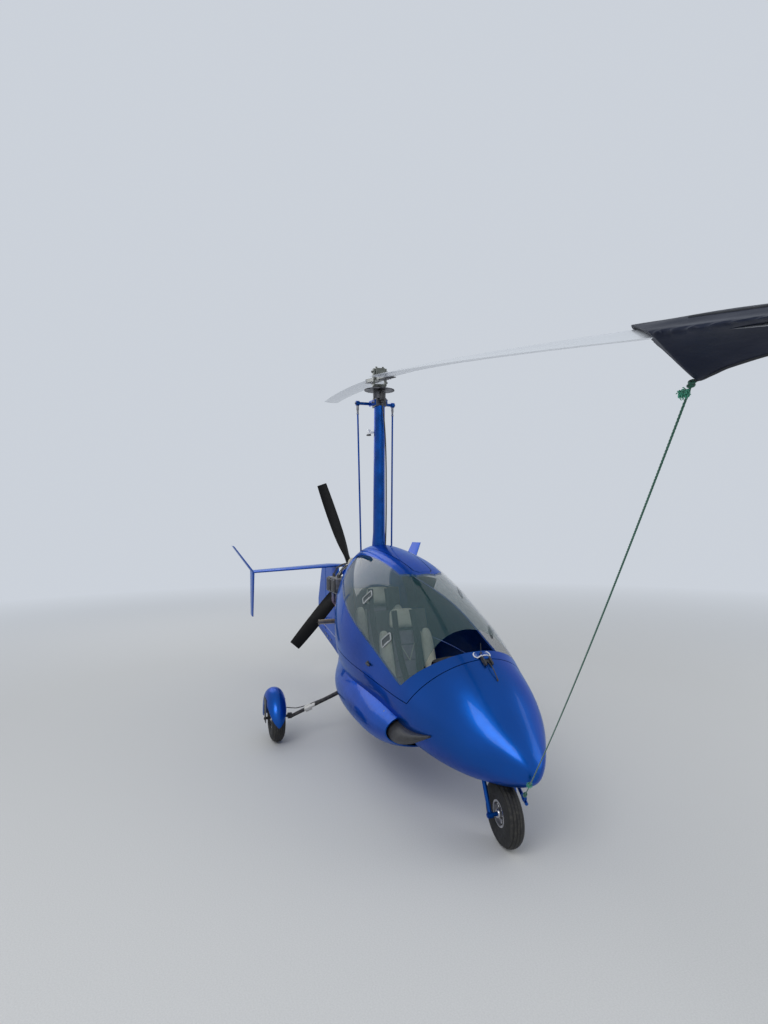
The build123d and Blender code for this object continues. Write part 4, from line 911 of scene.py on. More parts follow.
class GYRO_OT_seats(bpy.types.Operator):
    """Moulded seat shells with padded centres, bolsters, head pads and harness"""

    bl_idname = "gyro.seats"
    bl_label = "Seats"

    def execute(self, context):
        colours = context.scene.gyro_colours
        for seat in SEATS:
            self.shell(seat)
            self.pads(seat, tuple(colours.seat_centre), tuple(colours.seat_bolster))
            self.harness(seat)
        return {"FINISHED"}

    def shell(self, seat):
        name = seat.node
        lean = Matrix.Rotation(-seat.lean, 4, "Y")
        slope = Matrix.Rotation(-seat.ahead.angle(Vector((1, 0, 0))), 4, "Y")
        back = plate(name + "_back_shell", (0.014, 0.40, seat.back - 0.03), 0.006, 3)
        back.matrix_world = Matrix.Translation(seat.on_back(seat.back / 2 + 0.005, 0, -0.062)) @ lean
        pan = plate(name + "_pan_shell", (seat.pan + 0.03, 0.40, 0.014), 0.006, 3)
        pan.matrix_world = Matrix.Translation(seat.on_pan(seat.pan / 2 - 0.02, 0, -0.052)) @ slope
        tall = seat.hip.z - 0.062 - CABIN_FLOOR
        box = plate(name + "_box", (seat.pan - 0.07, 0.29, tall), 0.012, 3)
        stepped(box, broad(lambda face: abs(face.normal.x) > 0.9, 0.005), (0.02, -0.004))
        box.location = (seat.hip.x + seat.pan / 2 - 0.02, 0, CABIN_FLOOR + tall / 2)
        places = [
            Matrix.Translation(seat.on_back(seat.back * 0.5, y, -0.068)) @ lean for y in (-0.12, 0, 0.12)
        ]
        ribs = copies(plate("rib", (0.01, 0.012, seat.back * 0.7), 0.003), "ribs", places)
        whole = joined(name + "_shell", [back, pan, box, ribs])
        trim = moulded(name + "_shell_trim", (0.05, 0.05, 0.055), 0.6)
        settle(whole, "airframe", trim)
        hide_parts(seat.node)

    def pads(self, seat, centre_colour, bolster_colour):
        name = seat.node
        back_height = seat.back - 0.19
        rows = seat_cloth(name + "_centre_cloth", centre_colour, -seat.lean, 0.055)
        plain = seat_cloth(name + "_bolster_cloth", bolster_colour, -seat.lean)
        centre = cushion(
            name + "_back_pad",
            seat.on_back(0.03 + back_height / 2, 0, -0.037),
            seat.up,
            seat.out,
            (0.235, back_height, 0.044),
            taper=0.86,
        )
        pan = cushion(
            name + "_pan_pad",
            seat.on_pan(seat.pan / 2 + 0.022, 0, -0.028),
            seat.ahead,
            seat.pan_up,
            (0.245, seat.pan - 0.05, 0.044),
        )
        head = cushion(
            name + "_head_pad",
            seat.on_back(seat.back - 0.082, 0, -0.03),
            seat.up,
            seat.out,
            (0.23, 0.145, 0.062),
            taper=0.8,
            cuts=10,
        )
        for pad, material in ((centre, rows), (pan, rows), (head, plain)):
            stuffed(pad)
            settle(pad, "airframe", material, 60)
        edges = (
            ("back", seat.on_back, seat.up, seat.out, back_height / 2 + 0.025, back_height),
            ("pan", seat.on_pan, seat.ahead, seat.pan_up, seat.pan / 2 + 0.01, seat.pan - 0.03),
        )
        for label, place, along, out, middle, reach in edges:
            rolls = [
                cushion(
                    "bolster", place(middle, sign * 0.163, -0.024), along, out, (0.088, reach, 0.068),
                    power=3.2, pinch=0.02, cuts=9,
                )
                for sign in SIGNS
            ]
            bolsters = joined(f"{name}_{label}_bolsters", rolls)
            settle(bolsters, "airframe", plain, 60)
        self.piping(seat, back_height)

    def piping(self, seat, back_height):
        """Welts along the joint of centre and bolsters, with the V below the head pad."""
        runs = []
        low_v = seat.on_back(back_height * 0.55, 0, -0.006)
        for sign in SIGNS:
            back = [seat.on_back(height, sign * 0.119, -0.012) for height in (0.06, 0.2, 0.35, back_height)]
            pan = [seat.on_pan(reach, sign * 0.121, -0.006) for reach in (0.04, 0.2, seat.pan - 0.03)]
            high_v = seat.on_back(back_height * 0.98, sign * 0.09, -0.008)
            for points, steps in ((back, 6), (pan, 6), ([high_v, low_v], 4)):
                runs.append(tube("welt", points, WELT, 8, steps))
        whole = joined(seat.node + "_piping", runs)
        settle(whole, "airframe", enamel(seat.node + "_piping_cord", (0.55, 0.56, 0.48), 0.6))

    def harness(self, seat):
        """Four straps to a buckle, laid on the cushions."""
        straps = []
        buckle_at = seat.on_pan(0.07, 0, 0.012)
        for sign in SIGNS:
            shoulder = [
                seat.on_back(seat.back - 0.03, sign * 0.07, 0.004),
                seat.on_back(seat.back * 0.62, sign * 0.075, 0.003),
                seat.on_back(seat.back * 0.3, sign * 0.06, 0.003),
                seat.on_back(0.07, sign * 0.035, 0.012),
                buckle_at + Vector((0, sign * 0.012, 0)),
            ]
            lap = [
                seat.on_pan(0.01, sign * 0.2, 0.002),
                seat.on_pan(0.03, sign * 0.15, 0.014),
                seat.on_pan(0.05, sign * 0.08, 0.012),
                buckle_at + Vector((0, sign * 0.02, 0)),
            ]
            straps += [self.strap(shoulder, seat.out), self.strap(lap, seat.pan_up)]
        webbing = seat_cloth(seat.node + "_webbing", (0.03, 0.03, 0.035), 0)
        settle(joined(seat.node + "_harness", straps), "airframe", webbing, 60)
        buckle = plate(seat.node + "_buckle", (0.06, 0.055, 0.016), 0.004, 3)
        stepped(buckle, broad(looks_up, 0.0008), (0.008, 0.002), (0.004, -0.002))
        buckle.matrix_world = turned_to(buckle_at + seat.pan_up * 0.006, seat.pan_up)
        steel = brushed(seat.node + "_buckle_steel", (0.5, 0.5, 0.52), 0.3)
        settle(buckle, "airframe", steel)

    def strap(self, points, out):
        """A flat band along a smooth line."""
        mesh = bmesh.new()
        rows = []
        for place, run in self.middles(points, 24):
            side = run.cross(out).normalized() * STRAP_WIDTH / 2
            rows.append((mesh.verts.new(place - side), mesh.verts.new(place + side)))
        for first, second in zip(rows, rows[1:]):
            mesh.faces.new((first[0], first[1], second[1], second[0]))
        band = merged("strap", mesh)
        apply(band, "SOLIDIFY", thickness=0.0025, offset=0.0)
        apply(band, "BEVEL", width=0.0006, segments=2, limit_method="ANGLE")
        return band

    def middles(self, points, count):
        """Places and directions along a smooth line through the points' hull."""
        found = []
        for step in range(count + 1):
            t = step / count * (len(points) - 1)
            index = min(int(t), len(points) - 2)
            share = t - index
            before = points[max(index - 1, 0)]
            a, b = points[index], points[index + 1]
            after = points[min(index + 2, len(points) - 1)]
            place = 0.5 * (
                (2 * a) + (b - before) * share + (2 * before - 5 * a + 4 * b - after) * share**2
                + (3 * a - before - 3 * b + after) * share**3
            )
            found.append(place)
        return [
            (place, (found[min(i + 1, count)] - found[max(i - 1, 0)]).normalized())
            for i, place in enumerate(found)
        ]


# Cabin trim


DIALS = (
    (-0.095, 0.765, 0.037), (0.0, 0.775, 0.04), (0.095, 0.765, 0.037),
    (-0.095, 0.672, 0.03), (-0.015, 0.672, 0.03), (0.065, 0.672, 0.03), (0.065, 0.6, 0.026),
)
RIM = ((1, 0), (1, 0.006), (0.94, 0.009), (0.86, 0.009), (0.84, 0.002), (0.84, 0))
COAMING = (
    (-0.035, 0.80, 0.03, 0.145), (-0.01, 0.822, 0.022, 0.15),
    (0.05, 0.826, 0.018, 0.14), (0.09, 0.818, 0.008, 0.12),
)
TOGGLE = {"vertices": 12, "radius1": 0.0035, "radius2": 0.002, "depth": 0.018, "location": (0, 0, 0.01)}
GRIP = [
    (0.001, 0.0), (0.021, 0.002), (0.024, 0.02), (0.021, 0.04), (0.024, 0.06),
    (0.021, 0.08), (0.024, 0.1), (0.018, 0.118), (0.001, 0.122),
]
STICK_BOOT = [
    (0.001, 0.0), (0.05, 0.001), (0.046, 0.012), (0.05, 0.02), (0.036, 0.03),
    (0.04, 0.038), (0.026, 0.048), (0.028, 0.056), (0.014, 0.066), (0.001, 0.066),
]
KNOB = [(0.001, 0), (0.012, 0.004), (0.016, 0.014), (0.012, 0.026), (0.001, 0.03)]


class GYRO_OT_cabin(bpy.types.Operator):
    """Dials, coaming, switches, stick grips, pedals and throttle"""

    bl_idname = "gyro.cabin"
    bl_label = "Cabin trim"

    def execute(self, context):
        black = moulded("panel_trim", (0.02, 0.02, 0.022), 0.55)
        face_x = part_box("instrument_panel")[0][0]
        faces, rims = [], []
        for y, z, radius in DIALS:
            place = turned_to((face_x, y, z), (-1, 0, 0))
            rim = turned_shape("rim", [(radius * share, height) for share, height in RIM], 28)
            rim.matrix_world = place
            rims.append(rim)
            size = {"radius": radius * 0.85, "depth": 0.004, "location": (0, 0, 0.001)}
            dial = new("cylinder", "dial", vertices=28, **size)
            stepped(dial, looks_up, (radius * 0.1, 0.0006))
            dial.matrix_world = place @ dial.matrix_world
            faces.append(dial)
        settle(joined("dial_rims", rims), "airframe", black)
        settle(joined("dial_faces", faces), "airframe", dial_face())
        rings = [((face_x + shift, 0, z), (0, pi / 2, 0), *size) for shift, z, *size in COAMING]
        coaming = lofted("panel_coaming", rings)
        settle(coaming, "airframe", black)
        toggles = []
        for y in (-0.09, -0.06, -0.03, 0.0, 0.03):
            lever = new("cone", "toggle", **TOGGLE)
            with editing(lever) as mesh:
                pick(mesh, looks_up)
                bpy.ops.mesh.extrude_region_shrink_fatten(TRANSFORM_OT_shrink_fatten={"value": -0.003})
            lever.matrix_world = turned_to((face_x, y, 0.605), (-1, 0, 0.25)) @ lever.matrix_world
            toggles.append(lever)
        steel = brushed("toggle_steel", (0.5, 0.5, 0.5))
        settle(joined("panel_toggles", toggles), "airframe", steel)
        self.sticks(black)
        self.feet()
        return {"FINISHED"}

    def sticks(self, black):
        grips, levers = [], []
        for x in (1.16, 0.52):
            for name, outline, steps, foot in (("grip", GRIP, 20, 0.548), ("boot", STICK_BOOT, 24, 0.3525)):
                part = turned_shape(name, outline, steps)
                part.matrix_world = Matrix.Translation((x, 0, foot))
                grips.append(part)
        settle(joined("stick_grips", grips), "airframe", black)
        for x in (0.93, 0.3):
            knob = turned_shape("knob", KNOB, 16)
            knob.matrix_world = Matrix.Translation((x + 0.045, 0.245, 0.545))
            bend = [(x, 0.245, 0.36), (x + 0.02, 0.245, 0.46), (x + 0.045, 0.245, 0.548)]
            arm = tube("arm", bend, 0.006, 8, 6)
            quadrant = plate("quadrant", (0.1, 0.03, 0.05), 0.008, 3)
            quadrant.matrix_world = Matrix.Translation((x, 0.245, 0.377))
            levers += [knob, arm, quadrant]
        settle(joined("throttle_levers", levers), "airframe", black)

    def feet(self):
        pedals = []
        for x, apart in ((1.47, 0.095), (0.56, 0.25)):
            for sign in SIGNS:
                y = sign * apart
                pad = plate("pedal", (0.012, 0.07, 0.085), 0.003, 2)
                stepped(pad, broad(looks_back, 0.002), (0.008, 0.002), (0.006, -0.0015))
                pad.matrix_world = Matrix.Translation((x, y, 0.445)) @ Matrix.Rotation(radians(20), 4, "Y")
                bend = [(x + 0.01, y, 0.445), (x + 0.03, y, 0.4), (x + 0.03, y, 0.354)]
                arm = tube("arm", bend, 0.007, 8, 6)
                pedals += [pad, arm]
        settle(joined("foot_pedals", pedals), "airframe", brushed("pedal_alloy", (0.4, 0.4, 0.42)))


# Rotor cover and its line


BEAM = Vector((-0.0107, 0.0011, 2.8321))
SPAN = Vector((0.971, -0.13771, -0.19545))
CHORD = Vector((0.13898, 0.99027, -0.00728))
ABOVE = Vector((0.19455, -0.02009, 0.98069))
COVER_LOW = Vector((3.584, -0.558, 1.899))
TOW_EYE = Vector((2.0605, -0.0123, 0.3287))
BLADE_REACH = 4.2
DROOP = 0.118
COVER_VOXEL = 0.011
FOLD_LIMIT = 0.006
LINE_STEP = 0.006
LINE_SAG = 0.035


def on_blade(span, chord, up):
    """A point by the front blade, from its distance out, toward its nose and above it."""
    return BEAM + SPAN * span + CHORD * chord + ABOVE * (up - DROOP * (span / BLADE_REACH) ** 2)


class GYRO_OT_cover(bpy.types.Operator):
    """Padded cover over the parked blade's tip, creased and drawn down to its line"""

    bl_idname = "gyro.cover"
    bl_label = "Rotor tip cover"

    def execute(self, context):
        node = NODES["tip_cover"]
        cover = bpy.data.objects.new("rotor_tip_cover", node.data.copy())
        context.collection.objects.link(cover)
        cover.matrix_world = node.matrix_world
        with editing(cover):
            bpy.ops.mesh.select_all(action="SELECT")
            bpy.ops.mesh.remove_doubles(threshold=0.0001)
        apply(cover, "REMESH", mode="VOXEL", voxel_size=COVER_VOXEL)
        trailing, leading = on_blade(3.69, -0.15, 0), on_blade(3.41, 0.055, 0)
        mouth_out = (trailing - leading).cross(COVER_LOW - leading).normalized()
        if mouth_out.dot(SPAN) < 0:
            mouth_out = -mouth_out
        for point in cover.data.vertices:
            place = point.co.copy()
            along, across, height = ((place - BEAM).dot(axis) for axis in (SPAN, CHORD, ABOVE))
            reach = (place - COVER_LOW).length
            top = hits(NODES["blade_front"], [(on_blade(along, clamp(across, -0.13, 0.04), 0.2), -ABOVE)])
            above = height - (top[0][0] - BEAM).dot(ABOVE) if top else 0.0
            valley = sin(11.0 * (along - 3.72) + 14 * above) * clamp(1 - reach / 0.5)
            wave = sin(along * 13 + across * 11) * 0.6 + sin(along * 23 - across * 17 + 1.3) * 0.4
            fold = (0.006 * valley + 0.003 * wave) * (0.4 + 0.6 * clamp(-above / 0.05))
            if above > 0.0:
                place -= ABOVE * above * 0.6
            if above < 0.0:
                place -= ABOVE * 0.012 * clamp(1 - reach / 0.09)
            depth = (place - leading).dot(mouth_out)
            if depth < 0.0:
                place -= SPAN * depth / mouth_out.dot(SPAN)
                fold = 0.0
            point.co = place + point.normal * min(fold, FOLD_LIMIT) * clamp(depth / 0.06)
        apply(cover, "SMOOTH", factor=0.5, iterations=3)
        settle(cover, "rotor", node.material_slots[0].material, 60)
        context.view_layer.update()
        self.seams(cover)
        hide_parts("tip_cover")
        return {"FINISHED"}

    def seams(self, cover):
        """Welts along both long edges and along the keel."""
        rows = [
            [(on_blade(3.78 + step * 0.038, -0.047 + sign * 0.19, 0.005), -CHORD * sign) for step in range(13)]
            for sign in SIGNS
        ]
        rows.append([(on_blade(3.76 + step * 0.037, -0.048, -0.25), ABOVE) for step in range(12)])
        welts = [tube("welt", [place for place, normal in hits(cover, row)], WELT, 8, 4) for row in rows]
        hem = enamel("cover_welt", (0.006, 0.008, 0.014), 0.5)
        settle(joined("cover_seams", welts), "rotor", hem, 60)


def knot(place, run, loops, size):
    """Turns of cord wound round a line, each a ring of its own."""
    rings = []
    measures = {"major_segments": 20, "minor_segments": 8, "major_radius": size, "minor_radius": size * 0.42}
    for turn in range(loops):
        ring = new("torus", "turn", **measures)
        tilt = 0.35 * (-1) ** turn
        centre = place + run * (turn - loops / 2) * size * 0.8
        ring.matrix_world = turned_to(centre, run + Vector((tilt, tilt * 0.5, 0)))
        rings.append(ring)
    return rings


def tuft(place, count, reach, radius, seed, down=0.4):
    """Loose ends of a knotted line, spreading and drooping."""
    chance = random.Random(seed)
    ends = []
    for strand in range(count):
        aim = Vector((chance.uniform(-1, 1), chance.uniform(-1, 1), chance.uniform(-1, 0.7))).normalized()
        long = reach * chance.uniform(0.5, 1)
        bow = Vector((chance.uniform(-0.3, 0.3), chance.uniform(-0.3, 0.3), 0)) * long
        points = [
            place,
            place + aim * long * 0.35 + bow * 0.5,
            place + aim * long * 0.7 + bow - Vector((0, 0, down * long * 0.3)),
            place + aim * long * 0.85 - Vector((0, 0, down * long)),
        ]
        ends.append(tube("end", points, radius, 4, 4))
    return ends


class GYRO_OT_line(bpy.types.Operator):
    """Taut three-strand line from the rotor cover to the tow eye, with its knots"""

    bl_idname = "gyro.line"
    bl_label = "Rotor line"

    def execute(self, context):
        colours = context.scene.gyro_colours
        cord = green_cord(colours)
        run = (TOW_EYE - COVER_LOW).normalized()
        line = self.stranded(run, context.scene.gyro_sizes.rope / 2)
        settle(line, "airframe", cord, 60)
        top = COVER_LOW + run * 0.012
        low = TOW_EYE - run * 0.16
        turns = knot(top, run, 3, 0.006) + knot(low, run, 3, 0.005) + knot(TOW_EYE - run * 0.03, run, 4, 0.007)
        settle(joined("rotor_line_knots", turns), "airframe", cord, 60)
        ends = tuft(top + Vector((-0.005, -0.016, -0.016)), 130, 0.016, 0.001, 3, 0.2)
        ends += tuft(low, 70, 0.018, 0.0009, 5)
        bright = green_cord(colours, "bright_fibre", 3.0)
        settle(joined("rotor_line_tufts", ends), "airframe", bright, 60)
        return {"FINISHED"}

    def stranded(self, run, radius):
        """Three strands laid round a slightly sagging line."""
        side = run.cross(Vector((0, 1, 0))).normalized()
        level = run.cross(side)
        length = (TOW_EYE - COVER_LOW).length
        steps = int(length / LINE_STEP)
        turns = [corner * 2 * pi / 5 for corner in range(5)]
        ways = [side * cos(turn) + level * sin(turn) for turn in turns]
        mesh = bmesh.new()
        for strand in range(3):
            rings = []
            for step in range(steps + 1):
                t = step / steps
                angle = step * LINE_STEP / (radius * 9) * 2 * pi + strand * 2 * pi / 3
                sag = Vector((0, 0, -LINE_SAG * 4 * t * (1 - t)))
                middle = COVER_LOW + run * (t * length) + sag
                centre = middle + (side * cos(angle) + level * sin(angle)) * radius * 0.5
                rings.append([mesh.verts.new(centre + way * (radius * 0.56)) for way in ways])
            for first, second in zip(rings, rings[1:]):
                for corner in range(5):
                    after = (corner + 1) % 5
                    mesh.faces.new((first[corner], first[after], second[after], second[corner]))
            mesh.faces.new(rings[0])
            mesh.faces.new(rings[-1])
        return merged("rotor_line", mesh)


# Rotor head, blades and mast


SHAFT = Vector((sin(radians(3)), 0, cos(radians(3))))
HUB = Vector((0, 0, 2.886))
SPIN_X = Matrix.Rotation(radians(-8), 3, SHAFT) @ Vector((cos(radians(3)), 0, -sin(radians(3))))
SPIN_Y = SHAFT.cross(SPIN_X)
BLADE_FRAME = Matrix((SPAN, CHORD, ABOVE)).transposed().to_4x4()
PREROTATOR = [
    (0.001, 0), (0.021, 0), (0.023, 0.004), (0.023, 0.05),
    (0.019, 0.056), (0.011, 0.058), (0.009, 0.078), (0.001, 0.078),
]
DRIVE_CUP = [(0.001, 0), (0.014, 0), (0.014, 0.012), (0.006, 0.016), (0.001, 0.016)]
DRIVE_SHAFT = [
    (0.063, 0.0, 2.622), (0.075, 0.0, 2.56), (0.055, 0.02, 2.44), (0.052, 0.03, 2.2),
    (0.045, 0.03, 1.9), (0.03, 0.03, 1.6), (0.02, 0.025, 1.46),
]
ROD_END = [(0.0065, 0), (0.011, 0.002), (0.011, 0.035), (0.0085, 0.04), (0.0085, 0.058), (0.0065, 0.06)]
LAMP_SEAT = [(0.001, 0), (0.019, 0), (0.02, 0.003), (0.02, 0.008), (0.016, 0.01), (0.001, 0.01)]


def from_shaft(angle):
    """The way out from the rotor's shaft at an angle of its turn."""
    return SPIN_X * cos(angle) + SPIN_Y * sin(angle)


class GYRO_OT_rotor(bpy.types.Operator):
    """Bolts, straps, gear teeth, nuts and rod ends of the rotor head"""

    bl_idname = "gyro.rotor"
    bl_label = "Rotor head fittings"

    def execute(self, context):
        steel = brushed("bolt_steel", (0.32, 0.32, 0.34), 0.36, (0.02, 0.02, 0.02))
        dark = moulded("dark_fitting", (0.025, 0.025, 0.028), 0.5)
        spots, straps, nuts, head = [], [], [], []
        for sign in SIGNS:
            for reach in (0.12, 0.2, 0.28, 0.36):
                for y in (-0.02, 0.02):
                    place = BEAM + SPAN * sign * reach + CHORD * sign * y + ABOVE * 0.013
                    spots += [(place, ABOVE), (place - ABOVE * 0.026, -ABOVE)]
            centre = BEAM + SPAN * sign * 0.425 + ABOVE * 0.0005
            for up in (0.0145, -0.0125):
                strap = plate("strap", (0.13, 0.072, 0.006), 0.002, 2)
                strap.matrix_world = Matrix.Translation(centre + ABOVE * up) @ BLADE_FRAME
                straps.append(strap)
            for along in (-0.018, 0.018):
                nuts.append((HUB + SPIN_Y * sign * 0.0552 + SPIN_X * along - SHAFT * 0.09, SPIN_Y * sign))
            for x, z in ((0.012, 2.632), (-0.028, 2.64), (0.016, 2.652)):
                head.append(((x, sign * 0.0532, z), (0, sign, 0)))
        bolts("hub_bar_bolts", "rotor", steel, spots, 0.0065, 0.006)
        settle(joined("blade_straps", straps), "rotor", dark)
        self.ring_gear(steel)
        bolts("tower_nuts", "rotor_shaft", steel, nuts, 0.008, 0.007)
        bolts("head_bolts", "airframe", steel, head, 0.0075, 0.006)
        drive = []
        parts = (("prerotator", PREROTATOR, 24, 0.245), ("drive_cup", DRIVE_CUP, 18, 0.262))
        for name, outline, steps, down in parts:
            part = turned_shape(name, outline, steps)
            part.matrix_world = turned_to(HUB - SHAFT * down + Vector((0.076, 0, 0)), SHAFT)
            drive.append(part)
        settle(joined("prerotator_drive", drive), "airframe", dark)
        settle(tube("prerotator_shaft", DRIVE_SHAFT, 0.006), "airframe", dark)
        self.mast(steel, dark)
        return {"FINISHED"}

    def ring_gear(self, steel):
        teeth = 84
        places = []
        for index in range(teeth):
            out = from_shaft(index * 2 * pi / teeth)
            turn = Matrix((out, SHAFT.cross(out), SHAFT)).transposed().to_4x4()
            places.append(Matrix.Translation(HUB - SHAFT * 0.1495 + out * 0.1205) @ turn)
        ring = copies(plate("tooth", (0.006, 0.0045, 0.0085), 0.0008, 1), "ring_gear_teeth", places)
        settle(ring, "rotor_shaft", NODES["ring_gear"].material_slots[0].material, 20)
        spots = [(HUB - SHAFT * 0.145 + from_shaft((i + 0.5) * pi / 4) * 0.086, SHAFT) for i in range(8)]
        bolts("ring_gear_bolts", "rotor_shaft", steel, spots, 0.006, 0.005)

    def mast(self, steel, dark):
        ends, spots = [], []
        for sign in SIGNS:
            top = Vector((-0.120, sign * 0.154, 2.645))
            foot = Vector((-0.136, sign * 0.132, 1.290))
            run = (foot - top).normalized()
            fork = turned_shape("rod_end", ROD_END, 18)
            fork.matrix_world = turned_to(top + run * 0.02, run)
            nut = new("cylinder", "jam_nut", vertices=6, radius=0.0115, depth=0.008)
            apply(nut, "BEVEL", width=0.001, segments=2, limit_method="ANGLE")
            nut.matrix_world = turned_to(top + run * 0.088, run)
            ends += [fork, nut]
            spots.append(((-0.120, sign * 0.1685, 2.645), (0, sign, 0)))
        settle(joined("rod_ends", ends), "airframe", steel)
        bolts("crossbar_bolts", "airframe", steel, spots, 0.009, 0.006)
        seat = turned_shape("lamp_seat", LAMP_SEAT, 24)
        seat.matrix_world = Matrix.Translation((-0.104, -0.064, 2.3765))
        settle(seat, "airframe", dark)


# Wheels and brakes


HUB_CAP = [(0.0115, 0.0), (0.021, 0.0), (0.023, 0.003), (0.02, 0.008), (0.0155, 0.009), (0.0115, 0.006)]
BRAKE_DISC = [(0.027, 0.0), (0.066, 0.0), (0.0665, 0.0005), (0.0665, 0.0035), (0.066, 0.004), (0.027, 0.004)]
BRAKE_LINE = ((-0.07, 0.066, 0.05), (-0.05, 0.10, 0.045), (-0.026, 0.2, 0.036), (-0.024, 0.42, 0.112))


class GYRO_OT_wheels(bpy.types.Operator):
    """Rim ribs, bolts, valves, hub caps, brake discs and calipers"""

    bl_idname = "gyro.wheels"
    bl_label = "Wheel fittings"

    def execute(self, context):
        steel = brushed("axle_steel", (0.4, 0.4, 0.42), 0.34, (0.02, 0.02, 0.02))
        alloy = NODES["main_rim_left"].material_slots[0].material
        wheels = [
            ("main_" + side, "main_wheel_" + side, MAIN_WHEELS[side], Vector((0, sign, 0)), 0.082, 0.036)
            for sign, side in SIDES
        ]
        wheels.append(("nose", "nose_wheel", NOSE_WHEEL, NOSE_AXLE, 0.066, 0.0331))
        for name, body, place, axis, radius, bead in wheels:
            centre = Vector(place)
            parts, spots = [], []
            rib_long = radius - 0.041
            for sign in SIGNS:
                out = axis * sign
                rim_frame = turned_to(centre, out)
                for index in range(5):
                    angle = index * 2 * pi / 5 + 0.3
                    rib = plate("rib", (rib_long, 0.009, 0.016), 0.003, 2)
                    move = Matrix.Translation((0.024 + rib_long / 2, 0, 0.0145))
                    rib.matrix_world = rim_frame @ Matrix.Rotation(angle, 4, "Z") @ move
                    parts.append(rib)
                    hole = Matrix.Rotation(angle + pi / 5, 4, "Z") @ Vector((radius * 0.62, 0, 0.008))
                    spots.append((rim_frame @ hole, out))
                cap = turned_shape("cap", HUB_CAP, 24)
                cap.matrix_world = turned_to(centre + out * (bead - 0.001), out)
                parts.append(cap)
            turn = rim_frame.to_3x3()
            stem = [
                centre + axis * proud + turn @ Vector((radius - inward, 0.012, 0))
                for proud, inward in ((0.006, 0.016), (0.03, 0.024), (0.04, 0.026))
            ]
            parts.append(tube("valve", stem, 0.003, 8, 6))
            settle(joined(name + "_rim_ribs", parts), body, alloy)
            bolts(name + "_rim_bolts", body, steel, spots, 0.0045, 0.004)
        self.brakes()
        spots = []
        for sign, side in SIDES:
            places = ((AXLE_X, 0.205), (AXLE_X + 0.028, 0.166), (AXLE_X - 0.028, 0.166))
            lines = [((x, sign * 1.3, z), (0, -sign, 0)) for x, z in places]
            spots += [(place, (0, sign, 0)) for place, normal in hits(NODES["guard_plates"], lines)]
        bolts("guard_plate_bolts", "airframe", steel, spots, 0.006, 0.005)
        return {"FINISHED"}

    def brakes(self):
        dark = moulded("caliper_black", (0.03, 0.03, 0.032), 0.5)
        for sign, side in SIDES:
            centre = Vector(MAIN_WHEELS[side])
            disc = turned_shape("brake_disc_" + side, BRAKE_DISC, 48)
            disc.matrix_world = turned_to(centre - Vector((0, sign * 0.046, 0)), (0, -sign, 0))
            steel = brushed("disc_steel_" + side, (0.45, 0.44, 0.43), 0.3, (0.02, 0.002, 0.02))
            settle(disc, "main_wheel_" + side, steel)
            body = plate("caliper", (0.05, 0.006, 0.042), 0.004, 3)
            body.matrix_world = Matrix.Translation(centre + Vector((-0.058, -sign * 0.059, 0.03)))
            arm = plate("arm", (0.06, 0.005, 0.03), 0.002, 2)
            arm.matrix_world = Matrix.Translation(centre + Vector((-0.03, -sign * 0.063, 0.015)))
            path = [centre + Vector((x, -sign * y, z)) for x, y, z in BRAKE_LINE]
            line = tube("brake_line", path, 0.0035, 8, 8)
            settle(joined("brake_caliper_" + side, [body, arm, line]), "airframe", dark)


# Body fittings


def wrapped(name, node, centre, aim, size, corner, height=0.002, turn=0.0, cuts=6, hole=0.0):
    """A rounded plate, or a frame round a hole, bent onto a node's surface."""
    patch = new("plane", name, size=1)
    patch.scale = (size[0], size[1], 1)
    only(patch)
    bpy.ops.object.transform_apply(location=True, rotation=True, scale=True)
    with editing(patch):
        bpy.ops.mesh.select_all(action="SELECT")
        bpy.ops.mesh.bevel(offset=corner, segments=6, affect="VERTICES")
        if hole:
            bpy.ops.mesh.inset(thickness=hole)
            bpy.ops.mesh.delete(type="FACE")
            bpy.ops.mesh.select_all(action="SELECT")
        bpy.ops.mesh.subdivide(number_cuts=2 if hole else cuts)
    patch.matrix_world = turned_to(centre, aim, turn)
    cling(patch, node)
    apply(patch, "SOLIDIFY", thickness=height, offset=1.0)
    return patch


POD_SCREWS = (
    (1.19, 0.527), (1.07, 0.56), (0.86, 0.575), (0.62, 0.585), (0.36, 0.585),
    (0.1, 0.575), (1.15, 0.33), (0.874, 0.30), (0.55, 0.28), (0.2, 0.28),
)
SCREW = [(0.0012, 0), (0.005, 0), (0.0048, 0.0014), (0.003, 0.0022), (0.0012, 0.0012)]
LATCH_SEAT = [(0.001, 0), (0.017, 0), (0.017, 0.003), (0.012, 0.007), (0.001, 0.007)]
HOOK_TIP = [(0.001, 0), (0.0042, 0.002), (0.0045, 0.01), (0.003, 0.014), (0.001, 0.015)]
POST_FOOT = [(0.001, 0), (0.008, 0), (0.008, 0.003), (0.003, 0.01), (0.001, 0.01)]
# Rings of the black wedge under each side intake, painted shade for the intake's shadowed inside
INTAKE_SHADE_WEDGE = (
    (1.29, 0.335, 0.440, 0.098, 0.074), (1.36, 0.335, 0.440, 0.092, 0.060),
    (1.44, 0.333, 0.452, 0.082, 0.043), (1.53, 0.330, 0.476, 0.062, 0.026),
    (1.61, 0.326, 0.501, 0.036, 0.014), (1.67, 0.322, 0.522, 0.010, 0.005),
)


